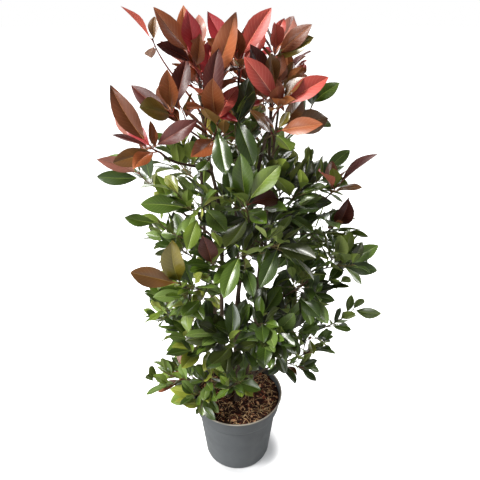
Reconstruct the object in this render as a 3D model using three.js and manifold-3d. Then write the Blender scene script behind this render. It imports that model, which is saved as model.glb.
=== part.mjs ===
// Photinia red robin: a bushy evergreen shrub of six stems in a grey nursery pot.
// Millimetres, +Z up. The origin is the centre of the pot's flat underside.
//
// Six stems rise from the potting soil, four boughs leave them, and every mass of foliage is one shoot: a
// main twig that leaves a limb's side or grows on from its tip, side twigs, and leaves set in a spiral.
// A leaf or side twig that would touch what is already placed is left out, so a mass keeps to its own space.
import * as THREE from 'three';
import { mergeVertices } from 'three/addons/utils/BufferGeometryUtils.js';
import Module from 'manifold-3d';

const wasm = await Module();
wasm.setup();

// ---------------------------------------------------------------- driving dimensions, pot and soil
const POT_HEIGHT = 185;
const BASE_RADIUS = 82; // of the flat underside
const BASE_CORNER = 4;
const BODY_RADIUS = 96; // just below the collar
const COLLAR_BOTTOM = 143;
const COLLAR_RADIUS = 103;
const COLLAR_TOP_RADIUS = 107.5;
const RIM_RADIUS = 110; // outer edge of the rolled rim
const RIM_HEIGHT = 4;
const WALL = 2;
const FLOOR = 3;
const POT_SIDES = 36;
const DRAIN_SLOTS = 3; // cut through the corner of the base
const DRAIN_BEARING = 90; // of the first slot
const DRAIN_SLOT = { width: 14, depth: 12, height: 6 };
const SOIL_LEVEL = 172;
const SOIL_SIDES = 20;
const SOIL_FLAT = 42; // radius of the level ground that the stems stand on
const SOIL_INSET = 3.2; // from the pot's outer face
const GAP = 0.3; // between neighbouring solids

// ---------------------------------------------------------------- driving dimensions, limbs
const STEM_SIDES = 6;
const STEM_RINGS = 9;
const ROOT_FLARE = 0.35; // extra radius at the foot
const FLARE_SHARE = 0.05; // of the stem's length
const BOUGH_SIDES = 6;
const TWIG_SIDES = 3;
const TWIG_FOOT = 1.5; // radius of the shortest main twig
const TWIG_GAIN = 0.007; // extra radius for each millimetre of its length
const TWIG_TIP = 1.1;
const SIDE_TWIG = { foot: 1.5, tip: 0.9, length: 46 };

// ---------------------------------------------------------------- driving dimensions, leaves
const TURN = 137.5; // degrees between one leaf and the next along a shoot
const LEAF_THICKNESS = 0.024; // at the midrib, of the leaf's length
const LEAF_WIDTH = 0.44; // of the leaf's length
const SHOWN_WIDTH = 0.38; // the same, for the leaves that draw the outline
const SHOWN_STEP = 4; // from one of those leaves to the next along the twig
const LEAF_SHOULDERS = [0.34, 0.7]; // where the outline turns, as shares of the length
const BARE_ROOT = 0.3; // share of a leaf, from its root, that may lie close to its own shoot
const CLEARANCE = 1.2; // kept round each leaf, on both faces
const LAST_LEAF = 0.98; // share of a twig where its last leaf sits
const ROOT_DEPTH = 0.35; // of a leaf's root below the side of its twig
const SIDE_LEAVES = 4; // on each side twig

// Stems: radius at foot and tip, and way-points [x, y, z] from the foot on the soil to the tip.
const STEMS = {
  stem_left: {
    foot: 5.8, tip: 2.5,
    path: [[-21, -6, 0], [-34, -6, 390], [-32, -4, 640], [-56, -10, 800], [-64, -16, 915]] },
  stem_centre: {
    foot: 6, tip: 2.5,
    path: [[0, -22, 0], [-2, -30, 430], [22, -34, 630], [44, -44, 790], [64, -54, 862]] },
  stem_right: {
    foot: 6, tip: 2.5,
    path: [[23, 0, 0], [52, 2, 310], [46, 4, 480], [62, 14, 720], [62, 2, 925]] },
  stem_middle: {
    foot: 5.4, tip: 2.3,
    path: [[1, 3, 0], [4, 24, 440], [-2, 14, 700], [4, -14, 915]] },
  stem_back_left: {
    foot: 5.6, tip: 2.5,
    path: [[-13, 24, 0], [-62, 66, 430], [-76, 84, 690], [-64, 70, 860]] },
  stem_back_right: {
    foot: 5.6, tip: 2.5,
    path: [[16, 25, 0], [58, 86, 430], [72, 112, 680], [84, 92, 850]] },
};

// Boughs: the limb they leave and at what share of it, the radius at foot and tip, and the tip.
const BOUGHS = {
  bough_left: { on: 'stem_left', at: 0.66, foot: 2.9, end: 2.2, tip: [-126, -84, 806] },
  bough_left_middle: { on: 'stem_left', at: 0.44, foot: 3.2, end: 2.2, tip: [-124, -10, 690] },
  bough_right_middle: { on: 'stem_right', at: 0.56, foot: 3.2, end: 2.2, tip: [168, -14, 690] },
  bough_right_low: { on: 'stem_right', at: 0.4, foot: 3.4, end: 2.2, tip: [160, -50, 552] },
};

// Outline leaves turn their faces up and to the front, to the light, but not those of the masses named here.
const TO_LIGHT = [0, -1, 0.5];
const EDGE_ON = ['crown_far_left', 'right_long_red'];

const RED = 0xb04030;
const BRONZE = 0x7a4a22;
const GREEN = 0x35552a;

// Foliage: the limb and the share of it where the shoot leaves (1 grows on from its tip), the shoot's tip,
// the leaves along the main twig, the side twigs, the leaf length, the colour, and the leaves that draw the
// outline, each [bearing, rise, length] in degrees and millimetres.
const MASSES = {
  crown_far_left: {
    on: 'stem_left', at: 0.86, tip: [-142, 0, 980], leaves: 1, twigs: 0, leaf: 66, colour: RED,
    shown: [[200, 50, 74], [108, -20, 68]] },
  crown_left: {
    on: 'stem_left', at: 1, tip: [-74, -22, 960], leaves: 4, twigs: 0, leaf: 82, colour: RED,
    shown: [[216, 48, 96], [124, 72, 84], [268, 56, 90], [82, 58, 88], [230, 26, 80],
      [283, 44, 76], [131, 36, 88]] },
  crown_middle: {
    on: 'stem_left', at: 0.8, tip: [-44, -54, 916], leaves: 5, twigs: 0, leaf: 80, colour: RED,
    shown: [[321, 63, 122], [104, 48, 96], [75, 62, 70]] },
  crown_front: {
    on: 'stem_left', at: 0.72, tip: [-29, -98, 868], leaves: 5, twigs: 0, leaf: 78, colour: BRONZE,
    shown: [[74, 76, 108], [268, 48, 98], [58, 39, 84], [285, -48, 88]] },
  crown_centre: {
    on: 'stem_middle', at: 1, tip: [6, -30, 952], leaves: 5, twigs: 0, leaf: 80, colour: RED,
    shown: [[344, 57, 94], [157, 54, 98], [265, 46, 80], [54, 63, 82], [90, 6, 72]] },
  crown_right: {
    on: 'stem_right', at: 1, tip: [68, -2, 970], leaves: 4, twigs: 0, leaf: 78, colour: RED,
    shown: [[57, 38, 82], [117, -8, 70], [266, 40, 86], [120, 46, 84], [308, 38, 86],
      [330, 28, 80]] },
  crown_right_inner: {
    on: 'stem_right', at: 0.88, tip: [66, -30, 914], leaves: 5, twigs: 0, leaf: 74, colour: BRONZE,
    shown: [[212, 50, 86], [258, 46, 78], [70, 50, 60]] },
  crown_right_low: {
    on: 'stem_centre', at: 1, tip: [74, -64, 884], leaves: 5, twigs: 0, leaf: 80, colour: RED,
    shown: [[205, 50, 102], [353, 33, 92], [40, 22, 84], [95, 38, 78]] },
  right_bronze: {
    on: 'stem_centre', at: 0.84, tip: [68, -92, 850], leaves: 4, twigs: 0, leaf: 70, colour: BRONZE,
    shown: [[38, 32, 78], [333, 30, 80], [12, 8, 110]] },
  left_bronze: {
    on: 'bough_left', at: 1, tip: [-142, -102, 824], leaves: 4, twigs: 0, leaf: 78, colour: BRONZE,
    shown: [[192, 62, 112], [350, 32, 94], [149, 34, 74], [144, 48, 110], [250, -6, 74],
      [207, 10, 78]] },
  left_copper: {
    on: 'stem_left', at: 0.76, tip: [-112, -58, 872], leaves: 4, twigs: 0, leaf: 80, colour: RED,
    shown: [[277, 48, 100], [50, 66, 98], [249, 34, 102], [157, 31, 98], [113, 43, 92]] },
  crown_back_left: {
    on: 'stem_back_left', at: 1, tip: [-58, 70, 914], leaves: 6, twigs: 2, leaf: 86, colour: RED },
  crown_back: {
    on: 'stem_back_right', at: 0.86, tip: [18, 80, 926], leaves: 6, twigs: 2, leaf: 86, colour: RED },
  crown_back_right: {
    on: 'stem_back_right', at: 1, tip: [70, 92, 896], leaves: 6, twigs: 2, leaf: 80, colour: RED },
  right_high: {
    on: 'stem_back_right', at: 0.8, tip: [146, 48, 868], leaves: 3, twigs: 0, leaf: 62, colour: GREEN,
    shown: [[310, 37, 74], [259, 40, 70]] },
  centre_upper: {
    on: 'stem_middle', at: 0.78, tip: [-2, -62, 868], leaves: 7, twigs: 1, leaf: 84, colour: GREEN,
    shown: [[302, -50, 92]] },
  left_side_high: {
    on: 'bough_left_middle', at: 1, tip: [-188, 0, 744], leaves: 6, twigs: 0, leaf: 82, colour: GREEN,
    shown: [[204, 27, 86], [152, 18, 90], [194, 6, 86]] },
  left_side_low: {
    on: 'stem_left', at: 0.42, tip: [-148, -54, 666], leaves: 4, twigs: 0, leaf: 66, colour: GREEN,
    shown: [[207, 21, 70]] },
  left_bronze_low: {
    on: 'stem_left', at: 0.34, tip: [-108, -118, 568], leaves: 5, twigs: 1, leaf: 74, colour: BRONZE,
    shown: [[196, 24, 95], [262, 70, 115]] },
  front_left: {
    on: 'stem_left', at: 0.56, tip: [-86, -98, 712], leaves: 6, twigs: 0, leaf: 80, colour: GREEN,
    shown: [[196, 12, 84]] },
  front_green: {
    on: 'stem_centre', at: 0.52, tip: [18, -128, 736], leaves: 5, twigs: 0, leaf: 86, colour: GREEN,
    shown: [[242, 76, 92], [321, 53, 94], [43, -8, 84]] },
  front_bronze: {
    on: 'stem_left', at: 0.39, tip: [-46, -122, 616], leaves: 5, twigs: 1, leaf: 72, colour: BRONZE,
    shown: [[262, 54, 98]] },
  front_middle: {
    on: 'stem_centre', at: 0.44, tip: [10, -128, 640], leaves: 7, twigs: 1, leaf: 90, colour: GREEN,
    shown: [[240, -44, 88]] },
  front_right: {
    on: 'stem_centre', at: 0.48, tip: [78, -122, 654], leaves: 6, twigs: 1, leaf: 86, colour: GREEN,
    shown: [[235, -44, 86]] },
  right_inner: {
    on: 'stem_right', at: 0.66, tip: [122, -62, 744], leaves: 5, twigs: 1, leaf: 82, colour: GREEN },
  right_side_high: {
    on: 'stem_back_right', at: 0.64, tip: [174, 40, 728], leaves: 6, twigs: 0, leaf: 76, colour: GREEN,
    shown: [[19, 38, 78], [325, 0, 60]] },
  right_long_red: {
    on: 'bough_right_middle', at: 1, tip: [190, -22, 724], leaves: 5, twigs: 0, leaf: 70, colour: BRONZE,
    shown: [[353, 46, 98], [233, 40, 92]] },
  right_side_middle: {
    on: 'bough_right_middle', at: 0.5, tip: [202, 14, 624], leaves: 5, twigs: 1, leaf: 70, colour: BRONZE,
    shown: [[280, 54, 106], [267, 26, 84]] },
  right_front_middle: {
    on: 'bough_right_low', at: 0.5, tip: [128, -104, 572], leaves: 5, twigs: 1, leaf: 80, colour: GREEN },
  right_side_low: {
    on: 'bough_right_low', at: 1, tip: [206, -58, 578], leaves: 5, twigs: 1, leaf: 78, colour: GREEN,
    shown: [[350, 34, 82], [343, -1, 75]] },
  back_high_left: {
    on: 'stem_back_left', at: 0.66, tip: [-132, 118, 742], leaves: 6, twigs: 2, leaf: 86, colour: GREEN },
  back_high: {
    on: 'stem_back_left', at: 0.8, tip: [-24, 146, 812], leaves: 8, twigs: 2, leaf: 82, colour: BRONZE },
  back_high_right: {
    on: 'stem_back_right', at: 0.62, tip: [66, 178, 742], leaves: 6, twigs: 2, leaf: 86, colour: GREEN },
  back_middle_left: {
    on: 'stem_back_left', at: 0.4, tip: [-160, 96, 566], leaves: 7, twigs: 2, leaf: 80, colour: GREEN },
  back_middle: {
    on: 'stem_back_left', at: 0.48, tip: [-20, 186, 590], leaves: 8, twigs: 2, leaf: 82, colour: GREEN },
  back_middle_right: {
    on: 'stem_back_right', at: 0.4, tip: [154, 118, 556], leaves: 8, twigs: 2, leaf: 80, colour: GREEN },
  left_low_high: {
    on: 'stem_left', at: 0.24, tip: [-168, -14, 470], leaves: 6, twigs: 2, leaf: 70, colour: GREEN },
  left_low_front: {
    on: 'stem_left', at: 0.17, tip: [-106, -72, 404], leaves: 6, twigs: 2, leaf: 74, colour: GREEN },
  front_low: {
    on: 'stem_centre', at: 0.2, tip: [-14, -124, 428], leaves: 8, twigs: 2, leaf: 84, colour: GREEN,
    shown: [[80, 72, 90]] },
  front_low_right: {
    on: 'stem_centre', at: 0.26, tip: [86, -108, 436], leaves: 7, twigs: 2, leaf: 82, colour: GREEN },
  right_low_inner: {
    on: 'stem_right', at: 0.3, tip: [168, -48, 478], leaves: 6, twigs: 1, leaf: 74, colour: GREEN },
  right_low: {
    on: 'stem_right', at: 0.22, tip: [268, 14, 420], leaves: 6, twigs: 2, leaf: 62, colour: GREEN,
    shown: [[330, 10, 64]] },
  right_foot: {
    on: 'stem_right', at: 0.1, tip: [196, -22, 356], leaves: 6, twigs: 2, leaf: 62, colour: GREEN },
  back_low_left: {
    on: 'stem_back_left', at: 0.13, tip: [-118, 108, 346], leaves: 8, twigs: 2, leaf: 74, colour: GREEN },
  back_low_right: {
    on: 'stem_back_right', at: 0.13, tip: [104, 134, 330], leaves: 8, twigs: 2, leaf: 74, colour: GREEN },
  left_foot: {
    on: 'stem_left', at: 0.03, tip: [-172, -26, 268], leaves: 6, twigs: 1, leaf: 68, colour: GREEN },
  left_rim: {
    on: 'stem_left', at: 0.06, tip: [-100, -80, 250], leaves: 6, twigs: 1, leaf: 70, colour: GREEN },
  front_foot: {
    on: 'stem_centre', at: 0.06, tip: [2, -90, 298], leaves: 7, twigs: 1, leaf: 58, colour: GREEN },
};

// ---------------------------------------------------------------- small helpers
const DEGREES = Math.PI / 180;
const UP = new THREE.Vector3(0, 0, 1);
const vector = (p) => new THREE.Vector3(...p);
const mix = (a, b, share) => a.clone().lerp(b, share);
const evenRings = (count) => Array.from({ length: count + 1 }, (_, i) => i / count);

// Random numbers from 0 to 1, the same on every run.
function seeded(seed) {
  let state = seed;
  return () => {
    state = (state * 16807) % 2147483647;
    return state / 2147483647;
  };
}

// The unit vector at a bearing (0 is +X, 90 is +Y) and a rise above the level, in degrees.
function heading(bearing, rise) {
  const level = Math.cos(rise * DEGREES);
  const x = level * Math.cos(bearing * DEGREES);
  const y = level * Math.sin(bearing * DEGREES);
  return new THREE.Vector3(x, y, Math.sin(rise * DEGREES));
}

// Two unit vectors across a direction.
function across(direction) {
  const reference = Math.abs(direction.x) < 0.8 ? new THREE.Vector3(1, 0, 0) : new THREE.Vector3(0, 1, 0);
  const side = new THREE.Vector3().crossVectors(reference, direction).normalize();
  return [side, new THREE.Vector3().crossVectors(direction, side)];
}

// The unit vector across a direction at an angle round it, in degrees.
function outwards(direction, angle) {
  const [side, other] = across(direction);
  return side.multiplyScalar(Math.cos(angle * DEGREES)).addScaledVector(other, Math.sin(angle * DEGREES));
}

// ---------------------------------------------------------------- solids
function solidOf(geometry) {
  const bare = geometry.clone();
  bare.deleteAttribute('normal');
  bare.deleteAttribute('uv');
  const merged = mergeVertices(bare, 1e-4);
  const mesh = new wasm.Mesh({
    numProp: 3,
    vertProperties: new Float32Array(merged.attributes.position.array),
    triVerts: new Uint32Array(merged.index.array),
  });
  return new wasm.Manifold(mesh);
}

function geometryOf(solid) {
  const mesh = solid.getMesh();
  const geometry = new THREE.BufferGeometry();
  geometry.setAttribute('position', new THREE.BufferAttribute(mesh.vertProperties, 3));
  geometry.setIndex(new THREE.BufferAttribute(mesh.triVerts, 1));
  geometry.computeVertexNormals();
  return geometry;
}

// The centre of a limb and two unit vectors across it, at a share of its curve.
function sectionOf(limb, share) {
  const chord = limb.curve.getPoint(1).sub(limb.curve.getPoint(0)).normalize();
  const [reference] = across(chord);
  const ahead = share === 0 && limb.flatFoot ? UP : limb.curve.getTangent(share);
  const side = new THREE.Vector3().crossVectors(reference, ahead).normalize();
  return { centre: limb.curve.getPoint(share), side, other: new THREE.Vector3().crossVectors(ahead, side) };
}

// A closed column bent along a limb's curve. Its rings sit at the limb's own shares of the curve.
function limbGeometry(limb, swell = 0) {
  const last = limb.rings.length - 1;
  const column = new THREE.CylinderGeometry(1, 1, 1, limb.sides, last);
  const position = column.attributes.position;
  for (let i = 0; i < position.count; i++) {
    const along = limb.rings[Math.round((position.getY(i) + 0.5) * last)];
    const { centre, side, other } = sectionOf(limb, along);
    const radius = limb.radius(along) + swell;
    const point = centre
      .addScaledVector(side, position.getX(i) * radius)
      .addScaledVector(other, -position.getZ(i) * radius);
    position.setXYZ(i, point.x, point.y, point.z);
  }
  return column;
}

// The point on the straight line between two rings of a limb, at a share of its curve.
function heartOf(limb, share) {
  const next = Math.max(1, limb.rings.findIndex((ring) => ring >= share));
  const [from, to] = [limb.rings[next - 1], limb.rings[next]];
  return mix(limb.curve.getPoint(from), limb.curve.getPoint(to), (share - from) / (to - from));
}

// A point of a leaf: share of its length from the root, distance from the midrib, height over the midrib.
function leafPoint(leaf, share, sideways, lift) {
  const drop = -leaf.bend * leaf.length * share * share;
  return leaf.root.clone()
    .addScaledVector(leaf.ahead, share * leaf.length)
    .addScaledVector(leaf.side, sideways)
    .addScaledVector(leaf.face, drop + lift);
}

// A leaf is a thin blade of eight faces with a six-sided outline: the corners of an octahedron become its
// root, its tip and four shoulders. The shoulders lie a little above the keel from root to tip.
function leafGeometry(leaf, margin = 0, start = 0) {
  const blade = new THREE.OctahedronGeometry(1);
  const position = blade.attributes.position;
  const half = leaf.width / 2 + margin;
  const brow = leaf.length * LEAF_THICKNESS + margin;
  const [lower, upper] = LEAF_SHOULDERS;
  const root = leafPoint(leaf, start, 0, -margin);
  const tip = leafPoint(leaf, 1, 0, -margin);
  const leftLower = leafPoint(leaf, lower, half, brow);
  const leftUpper = leafPoint(leaf, upper, half, brow);
  const rightLower = leafPoint(leaf, lower, -half, brow);
  const rightUpper = leafPoint(leaf, upper, -half, brow);
  const pairs = [[root, rightUpper], [tip, leftLower], [leftUpper, rightLower]];
  for (let i = 0; i < position.count; i++) {
    const reach = [position.getX(i), position.getY(i), position.getZ(i)];
    const axis = reach.findIndex((value) => Math.abs(value) > 0.5);
    const corner = pairs[axis][reach[axis] > 0 ? 0 : 1];
    position.setXYZ(i, corner.x, corner.y, corner.z);
  }
  return blade;
}

// ---------------------------------------------------------------- what is already in place
const placed = [];

function trianglesOf(geometry) {
  const corners = Array.from(geometry.toNonIndexed().attributes.position.array);
  return { corners, box: new THREE.Box3().setFromArray(corners) };
}

function register(geometry, owner, isLeaf = false) {
  placed.push({ owner, isLeaf, ...trianglesOf(geometry) });
}

// Whether an edge of one set of triangles passes through another set.
function pierces(a, b) {
  const c = b.corners;
  for (let from = 0; from < a.corners.length; from += 3) {
    const to = from % 9 === 6 ? from - 6 : from + 3;
    const [px, py, pz] = a.corners.slice(from, from + 3);
    const [dx, dy, dz] = [a.corners[to] - px, a.corners[to + 1] - py, a.corners[to + 2] - pz];
    for (let j = 0; j < c.length; j += 9) {
      const [ax, ay, az] = [c[j + 3] - c[j], c[j + 4] - c[j + 1], c[j + 5] - c[j + 2]];
      const [bx, by, bz] = [c[j + 6] - c[j], c[j + 7] - c[j + 1], c[j + 8] - c[j + 2]];
      const [hx, hy, hz] = [dy * bz - dz * by, dz * bx - dx * bz, dx * by - dy * bx];
      const volume = ax * hx + ay * hy + az * hz;
      if (Math.abs(volume) < 1e-12) continue;
      const [sx, sy, sz] = [px - c[j], py - c[j + 1], pz - c[j + 2]];
      const u = (sx * hx + sy * hy + sz * hz) / volume;
      if (u < 0 || u > 1) continue;
      const [qx, qy, qz] = [sy * az - sz * ay, sz * ax - sx * az, sx * ay - sy * ax];
      const v = (dx * qx + dy * qy + dz * qz) / volume;
      if (v < 0 || u + v > 1) continue;
      const along = (bx * qx + by * qy + bz * qz) / volume;
      if (along >= 0 && along <= 1) return true;
    }
  }
  return false;
}

// Whether a piece has room. What has the same owner is met by the slimmer probes, if there are any.
function fits(owner, whole, forOwnTwigs, forOwnLeaves) {
  return placed.every((item) => {
    const own = item.isLeaf ? forOwnLeaves : forOwnTwigs;
    const probe = item.owner === owner ? own : whole;
    if (!probe || !probe.box.intersectsBox(item.box)) return true;
    return !pierces(probe, item) && !pierces(item, probe);
  });
}

// ---------------------------------------------------------------- pot and soil
function turned(profile, sides) {
  const lathe = new THREE.LatheGeometry(profile.map(([radius, z]) => new THREE.Vector2(radius, z)), sides);
  return lathe.rotateX(Math.PI / 2);
}

function potSolid() {
  const profile = [
    [0, 0], [BASE_RADIUS - BASE_CORNER, 0], [BASE_RADIUS, BASE_CORNER],
    [BODY_RADIUS, COLLAR_BOTTOM - 2], [COLLAR_RADIUS, COLLAR_BOTTOM + 1],
    [COLLAR_TOP_RADIUS, POT_HEIGHT - RIM_HEIGHT - 2], [RIM_RADIUS, POT_HEIGHT - RIM_HEIGHT],
    [RIM_RADIUS, POT_HEIGHT - 1.5], [RIM_RADIUS - 1.5, POT_HEIGHT],
    [COLLAR_TOP_RADIUS - WALL, POT_HEIGHT - 1], [COLLAR_RADIUS - WALL, COLLAR_BOTTOM + 2],
    [BODY_RADIUS - WALL, COLLAR_BOTTOM - 1], [BASE_RADIUS - WALL, BASE_CORNER + 1],
    [BASE_RADIUS - BASE_CORNER, FLOOR], [0, FLOOR],
  ];
  let pot = solidOf(turned(profile, POT_SIDES));
  for (let i = 0; i < DRAIN_SLOTS; i++) {
    const slot = new THREE.BoxGeometry(DRAIN_SLOT.depth, DRAIN_SLOT.width, DRAIN_SLOT.height * 2)
      .translate(BASE_RADIUS, 0, 0)
      .rotateZ((DRAIN_BEARING + i * 360 / DRAIN_SLOTS) * DEGREES);
    pot = pot.subtract(solidOf(slot));
  }
  return pot;
}

// The root ball fills the pot. Its top is level round the stems and falls a little towards the wall.
function soilSolid() {
  const profile = [
    [0, FLOOR + GAP], [BASE_RADIUS - 7, FLOOR + GAP], [BASE_RADIUS - SOIL_INSET, BASE_CORNER + 4],
    [BODY_RADIUS - SOIL_INSET, COLLAR_BOTTOM - 1.5], [COLLAR_RADIUS - SOIL_INSET, COLLAR_BOTTOM + 5],
    [COLLAR_TOP_RADIUS - SOIL_INSET - 2, SOIL_LEVEL - 6], [78, SOIL_LEVEL - 3],
    [SOIL_FLAT, SOIL_LEVEL], [0, SOIL_LEVEL],
  ];
  return solidOf(turned(profile, SOIL_SIDES));
}

// ---------------------------------------------------------------- limbs
function stemLimb(name, { foot, tip, path }) {
  const points = path.map(([x, y, z], i) => new THREE.Vector3(x, y, i ? z : SOIL_LEVEL + GAP));
  const curve = new THREE.CatmullRomCurve3(points, false, 'catmullrom', 0.5);
  const radius = (share) => {
    const flare = 1 + ROOT_FLARE * Math.max(0, 1 - share / FLARE_SHARE) ** 2;
    return (foot + (tip - foot) * share) * flare;
  };
  const rings = evenRings(STEM_RINGS).map((share) => share ** 1.4);
  return { name, curve, radius, sides: STEM_SIDES, rings, flatFoot: true };
}

function tapered(name, curve, foot, end, sides, rings) {
  return { name, curve, radius: (share) => foot + (end - foot) * share, sides, rings: evenRings(rings) };
}

// The curve of a limb that leaves its parent's side, or grows on from its tip, and turns up as it ends.
function sideCurve(parent, at, tip, lift) {
  const start = heartOf(parent, at);
  const along = parent.curve.getTangent(at);
  if (at === 1) start.addScaledVector(along, GAP);
  const chord = tip.clone().sub(start);
  const reach = chord.length() / 3;
  chord.normalize();
  const leaving = at === 1 ? along : mix(chord, along, 0.3).normalize();
  const arriving = mix(chord, UP, lift).normalize();
  return new THREE.CubicBezierCurve3(
    start, start.clone().addScaledVector(leaving, reach), tip.clone().addScaledVector(arriving, -reach), tip);
}

// A limb is moved along its parent until it touches no other limb.
function grow(parent, row, build) {
  for (const nudge of [0, 0.02, -0.02, 0.04, -0.04, 0.06, -0.06]) {
    const limb = build(row.at === 1 ? 1 : row.at + nudge);
    if (fits(parent.name, trianglesOf(limbGeometry(limb, 1)))) return limb;
  }
  return build(row.at);
}

function boughLimb(name, row) {
  const parent = limbs[row.on];
  const build = (at) => {
    const curve = sideCurve(parent, at, vector(row.tip), 0.35);
    return tapered(name, curve, row.foot, row.end, BOUGH_SIDES, 6);
  };
  return grow(parent, row, build);
}

function mainTwig(name, row) {
  const parent = limbs[row.on];
  const build = (at) => {
    const curve = sideCurve(parent, at, vector(row.tip), 0.45);
    const wide = TWIG_FOOT + TWIG_GAIN * curve.getLength();
    const foot = at === 1 ? parent.radius(1) : Math.min(wide, 0.8 * parent.radius(at));
    return tapered(name, curve, foot, TWIG_TIP, TWIG_SIDES, 4);
  };
  return grow(parent, row, build);
}

// A limb's solid, cut clear of the limb whose side it leaves.
function limbSolid(limb, parent, at) {
  const whole = solidOf(limbGeometry(limb));
  return !parent || at === 1 ? whole : whole.subtract(solidOf(limbGeometry(parent, GAP)));
}

// ---------------------------------------------------------------- leaves and side twigs
// Where a leaf's root sits in a three-sided twig: just below the middle of the side that it leaves through.
function rootIn(twig, share, ahead) {
  const { side, other } = sectionOf(twig, share);
  const sides = [60, 180, 300].map((angle) => side.clone().multiplyScalar(Math.sin(angle * DEGREES))
    .addScaledVector(other, -Math.cos(angle * DEGREES)));
  sides.sort((a, b) => b.dot(ahead) - a.dot(ahead));
  return heartOf(twig, share).addScaledVector(sides[0], twig.radius(share) / 2 - ROOT_DEPTH);
}

function leafOn(twig, share, ahead, towards, length, width, bend) {
  const face = towards.clone().addScaledVector(ahead, -towards.dot(ahead)).normalize();
  const side = new THREE.Vector3().crossVectors(ahead, face);
  return { root: rootIn(twig, share, ahead), ahead, face, side, length, width, bend };
}

function placeLeaf(leaf, mass) {
  const whole = trianglesOf(leafGeometry(leaf, CLEARANCE));
  const blade = trianglesOf(leafGeometry(leaf, CLEARANCE, BARE_ROOT));
  const slim = trianglesOf(leafGeometry(leaf, 0, 0.02));
  if (!fits(mass.name, whole, blade, blade) || !fits(mass.name, null, null, slim)) return false;
  register(leafGeometry(leaf), mass.name, true);
  mass.leavesPlaced.push(leaf);
  return true;
}

const NEARBY = [[0, 0], [8, 0], [-8, 0], [0, 8], [0, -8], [16, 0], [-16, 0], [0, 16], [0, -16]];

// The leaves that draw the outline, each tried at a few bearings and rises near its own.
function placeShown(mass) {
  const [main] = mass.twigs;
  const step = SHOWN_STEP / main.curve.getLength();
  const level = EDGE_ON.includes(mass.name);
  const towards = level ? main.curve.getTangent(1).addScaledVector(UP, 0.4) : vector(TO_LIGHT);
  (mass.row.shown ?? []).forEach(([bearing, rise, length], k) => {
    for (const [turn, lift] of NEARBY) {
      const ahead = heading(bearing + turn, rise + lift);
      const leaf = leafOn(main, LAST_LEAF - step * k, ahead, towards, length, length * SHOWN_WIDTH, 0.03);
      if (placeLeaf(leaf, mass)) break;
    }
  });
}

// Side twigs leave the main twig past its middle. Each is tried at six bearings round it.
function placeSideTwigs(mass) {
  const [main] = mass.twigs;
  for (let k = 0; k < mass.row.twigs; k++) {
    const share = 0.46 + 0.3 * k / mass.row.twigs + 0.1 * mass.random();
    const start = heartOf(main, share);
    const axis = main.curve.getTangent(share);
    const angle = mass.random() * 360;
    const length = SIDE_TWIG.length * (0.8 + 0.5 * mass.random());
    for (let step = 0; step < 6; step++) {
      const out = outwards(axis, angle + 60 * step);
      const ahead = axis.clone().multiplyScalar(0.7)
        .addScaledVector(out, 0.8)
        .addScaledVector(UP, 0.25).normalize();
      const bend = start.clone().addScaledVector(mix(ahead, out, 0.3).normalize(), length / 2);
      const end = start.clone().addScaledVector(ahead, length);
      const curve = new THREE.QuadraticBezierCurve3(start, bend, end);
      const twig = tapered(mass.name, curve, SIDE_TWIG.foot, SIDE_TWIG.tip, TWIG_SIDES, 2);
      if (!fits(mass.name, trianglesOf(limbGeometry(twig, 1)))) continue;
      register(limbGeometry(twig), mass.name);
      mass.twigs.push(twig);
      break;
    }
  }
}

// Leaves along a twig from its tip back, in a spiral. Each is tried at a few turns round the twig.
function placeSpiral(twig, count, from, length, mass) {
  let turn = mass.random() * 360;
  for (let k = 0; k < count; k++) {
    turn += TURN;
    const share = LAST_LEAF - (LAST_LEAF - from) * (k / count) ** 1.15;
    const nearTip = 1 - k / count;
    const spread = (74 - 44 * nearTip + 12 * (mass.random() - 0.5)) * DEGREES;
    const size = length * (0.74 + 0.4 * mass.random()) * (1 - 0.3 * nearTip ** 4);
    const bend = 0.02 + 0.06 * mass.random();
    const axis = twig.curve.getTangent(share);
    const towards = heading(360 * mass.random(), 60).addScaledVector(axis, 0.5);
    for (const nudge of [0, 24, -24, 48, -48, 72, -72, 100]) {
      const ahead = axis.clone().multiplyScalar(Math.cos(spread))
        .addScaledVector(outwards(axis, turn + nudge), Math.sin(spread))
        .addScaledVector(UP, 0.25).normalize();
      const leaf = leafOn(twig, share, ahead, towards, size, size * LEAF_WIDTH, bend);
      if (placeLeaf(leaf, mass)) break;
    }
  }
}

// ---------------------------------------------------------------- the plant
const pot = potSolid();
const soil = soilSolid();
register(geometryOf(pot), 'pot');
register(geometryOf(soil), 'potting_soil');

const limbs = {};
for (const [name, row] of Object.entries(STEMS)) {
  limbs[name] = stemLimb(name, row);
  register(limbGeometry(limbs[name]), name);
}
for (const [name, row] of Object.entries(BOUGHS)) {
  limbs[name] = boughLimb(name, row);
  register(limbGeometry(limbs[name]), name);
}

const masses = Object.entries(MASSES).map(([name, row], index) => {
  const main = mainTwig(name, row);
  register(limbGeometry(main), name);
  return { name, row, twigs: [main], leavesPlaced: [], random: seeded(1000 + 77 * index) };
});

// The leaves that draw the outline come first, then the side twigs, then the leaves that fill each mass.
for (const mass of masses) placeShown(mass);
for (const mass of masses) placeSideTwigs(mass);
for (const mass of masses) {
  const [main, ...side] = mass.twigs;
  placeSpiral(main, mass.row.leaves, 0.42, mass.row.leaf, mass);
  for (const twig of side) placeSpiral(twig, SIDE_LEAVES, 0.4, mass.row.leaf * 0.9, mass);
}

// ---------------------------------------------------------------- the group
const group = new THREE.Group();

function addMesh(name, solid, color, roughness) {
  const material = new THREE.MeshStandardMaterial({ color, roughness, metalness: 0 });
  const mesh = new THREE.Mesh(geometryOf(solid), material);
  mesh.name = name;
  group.add(mesh);
}

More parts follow.
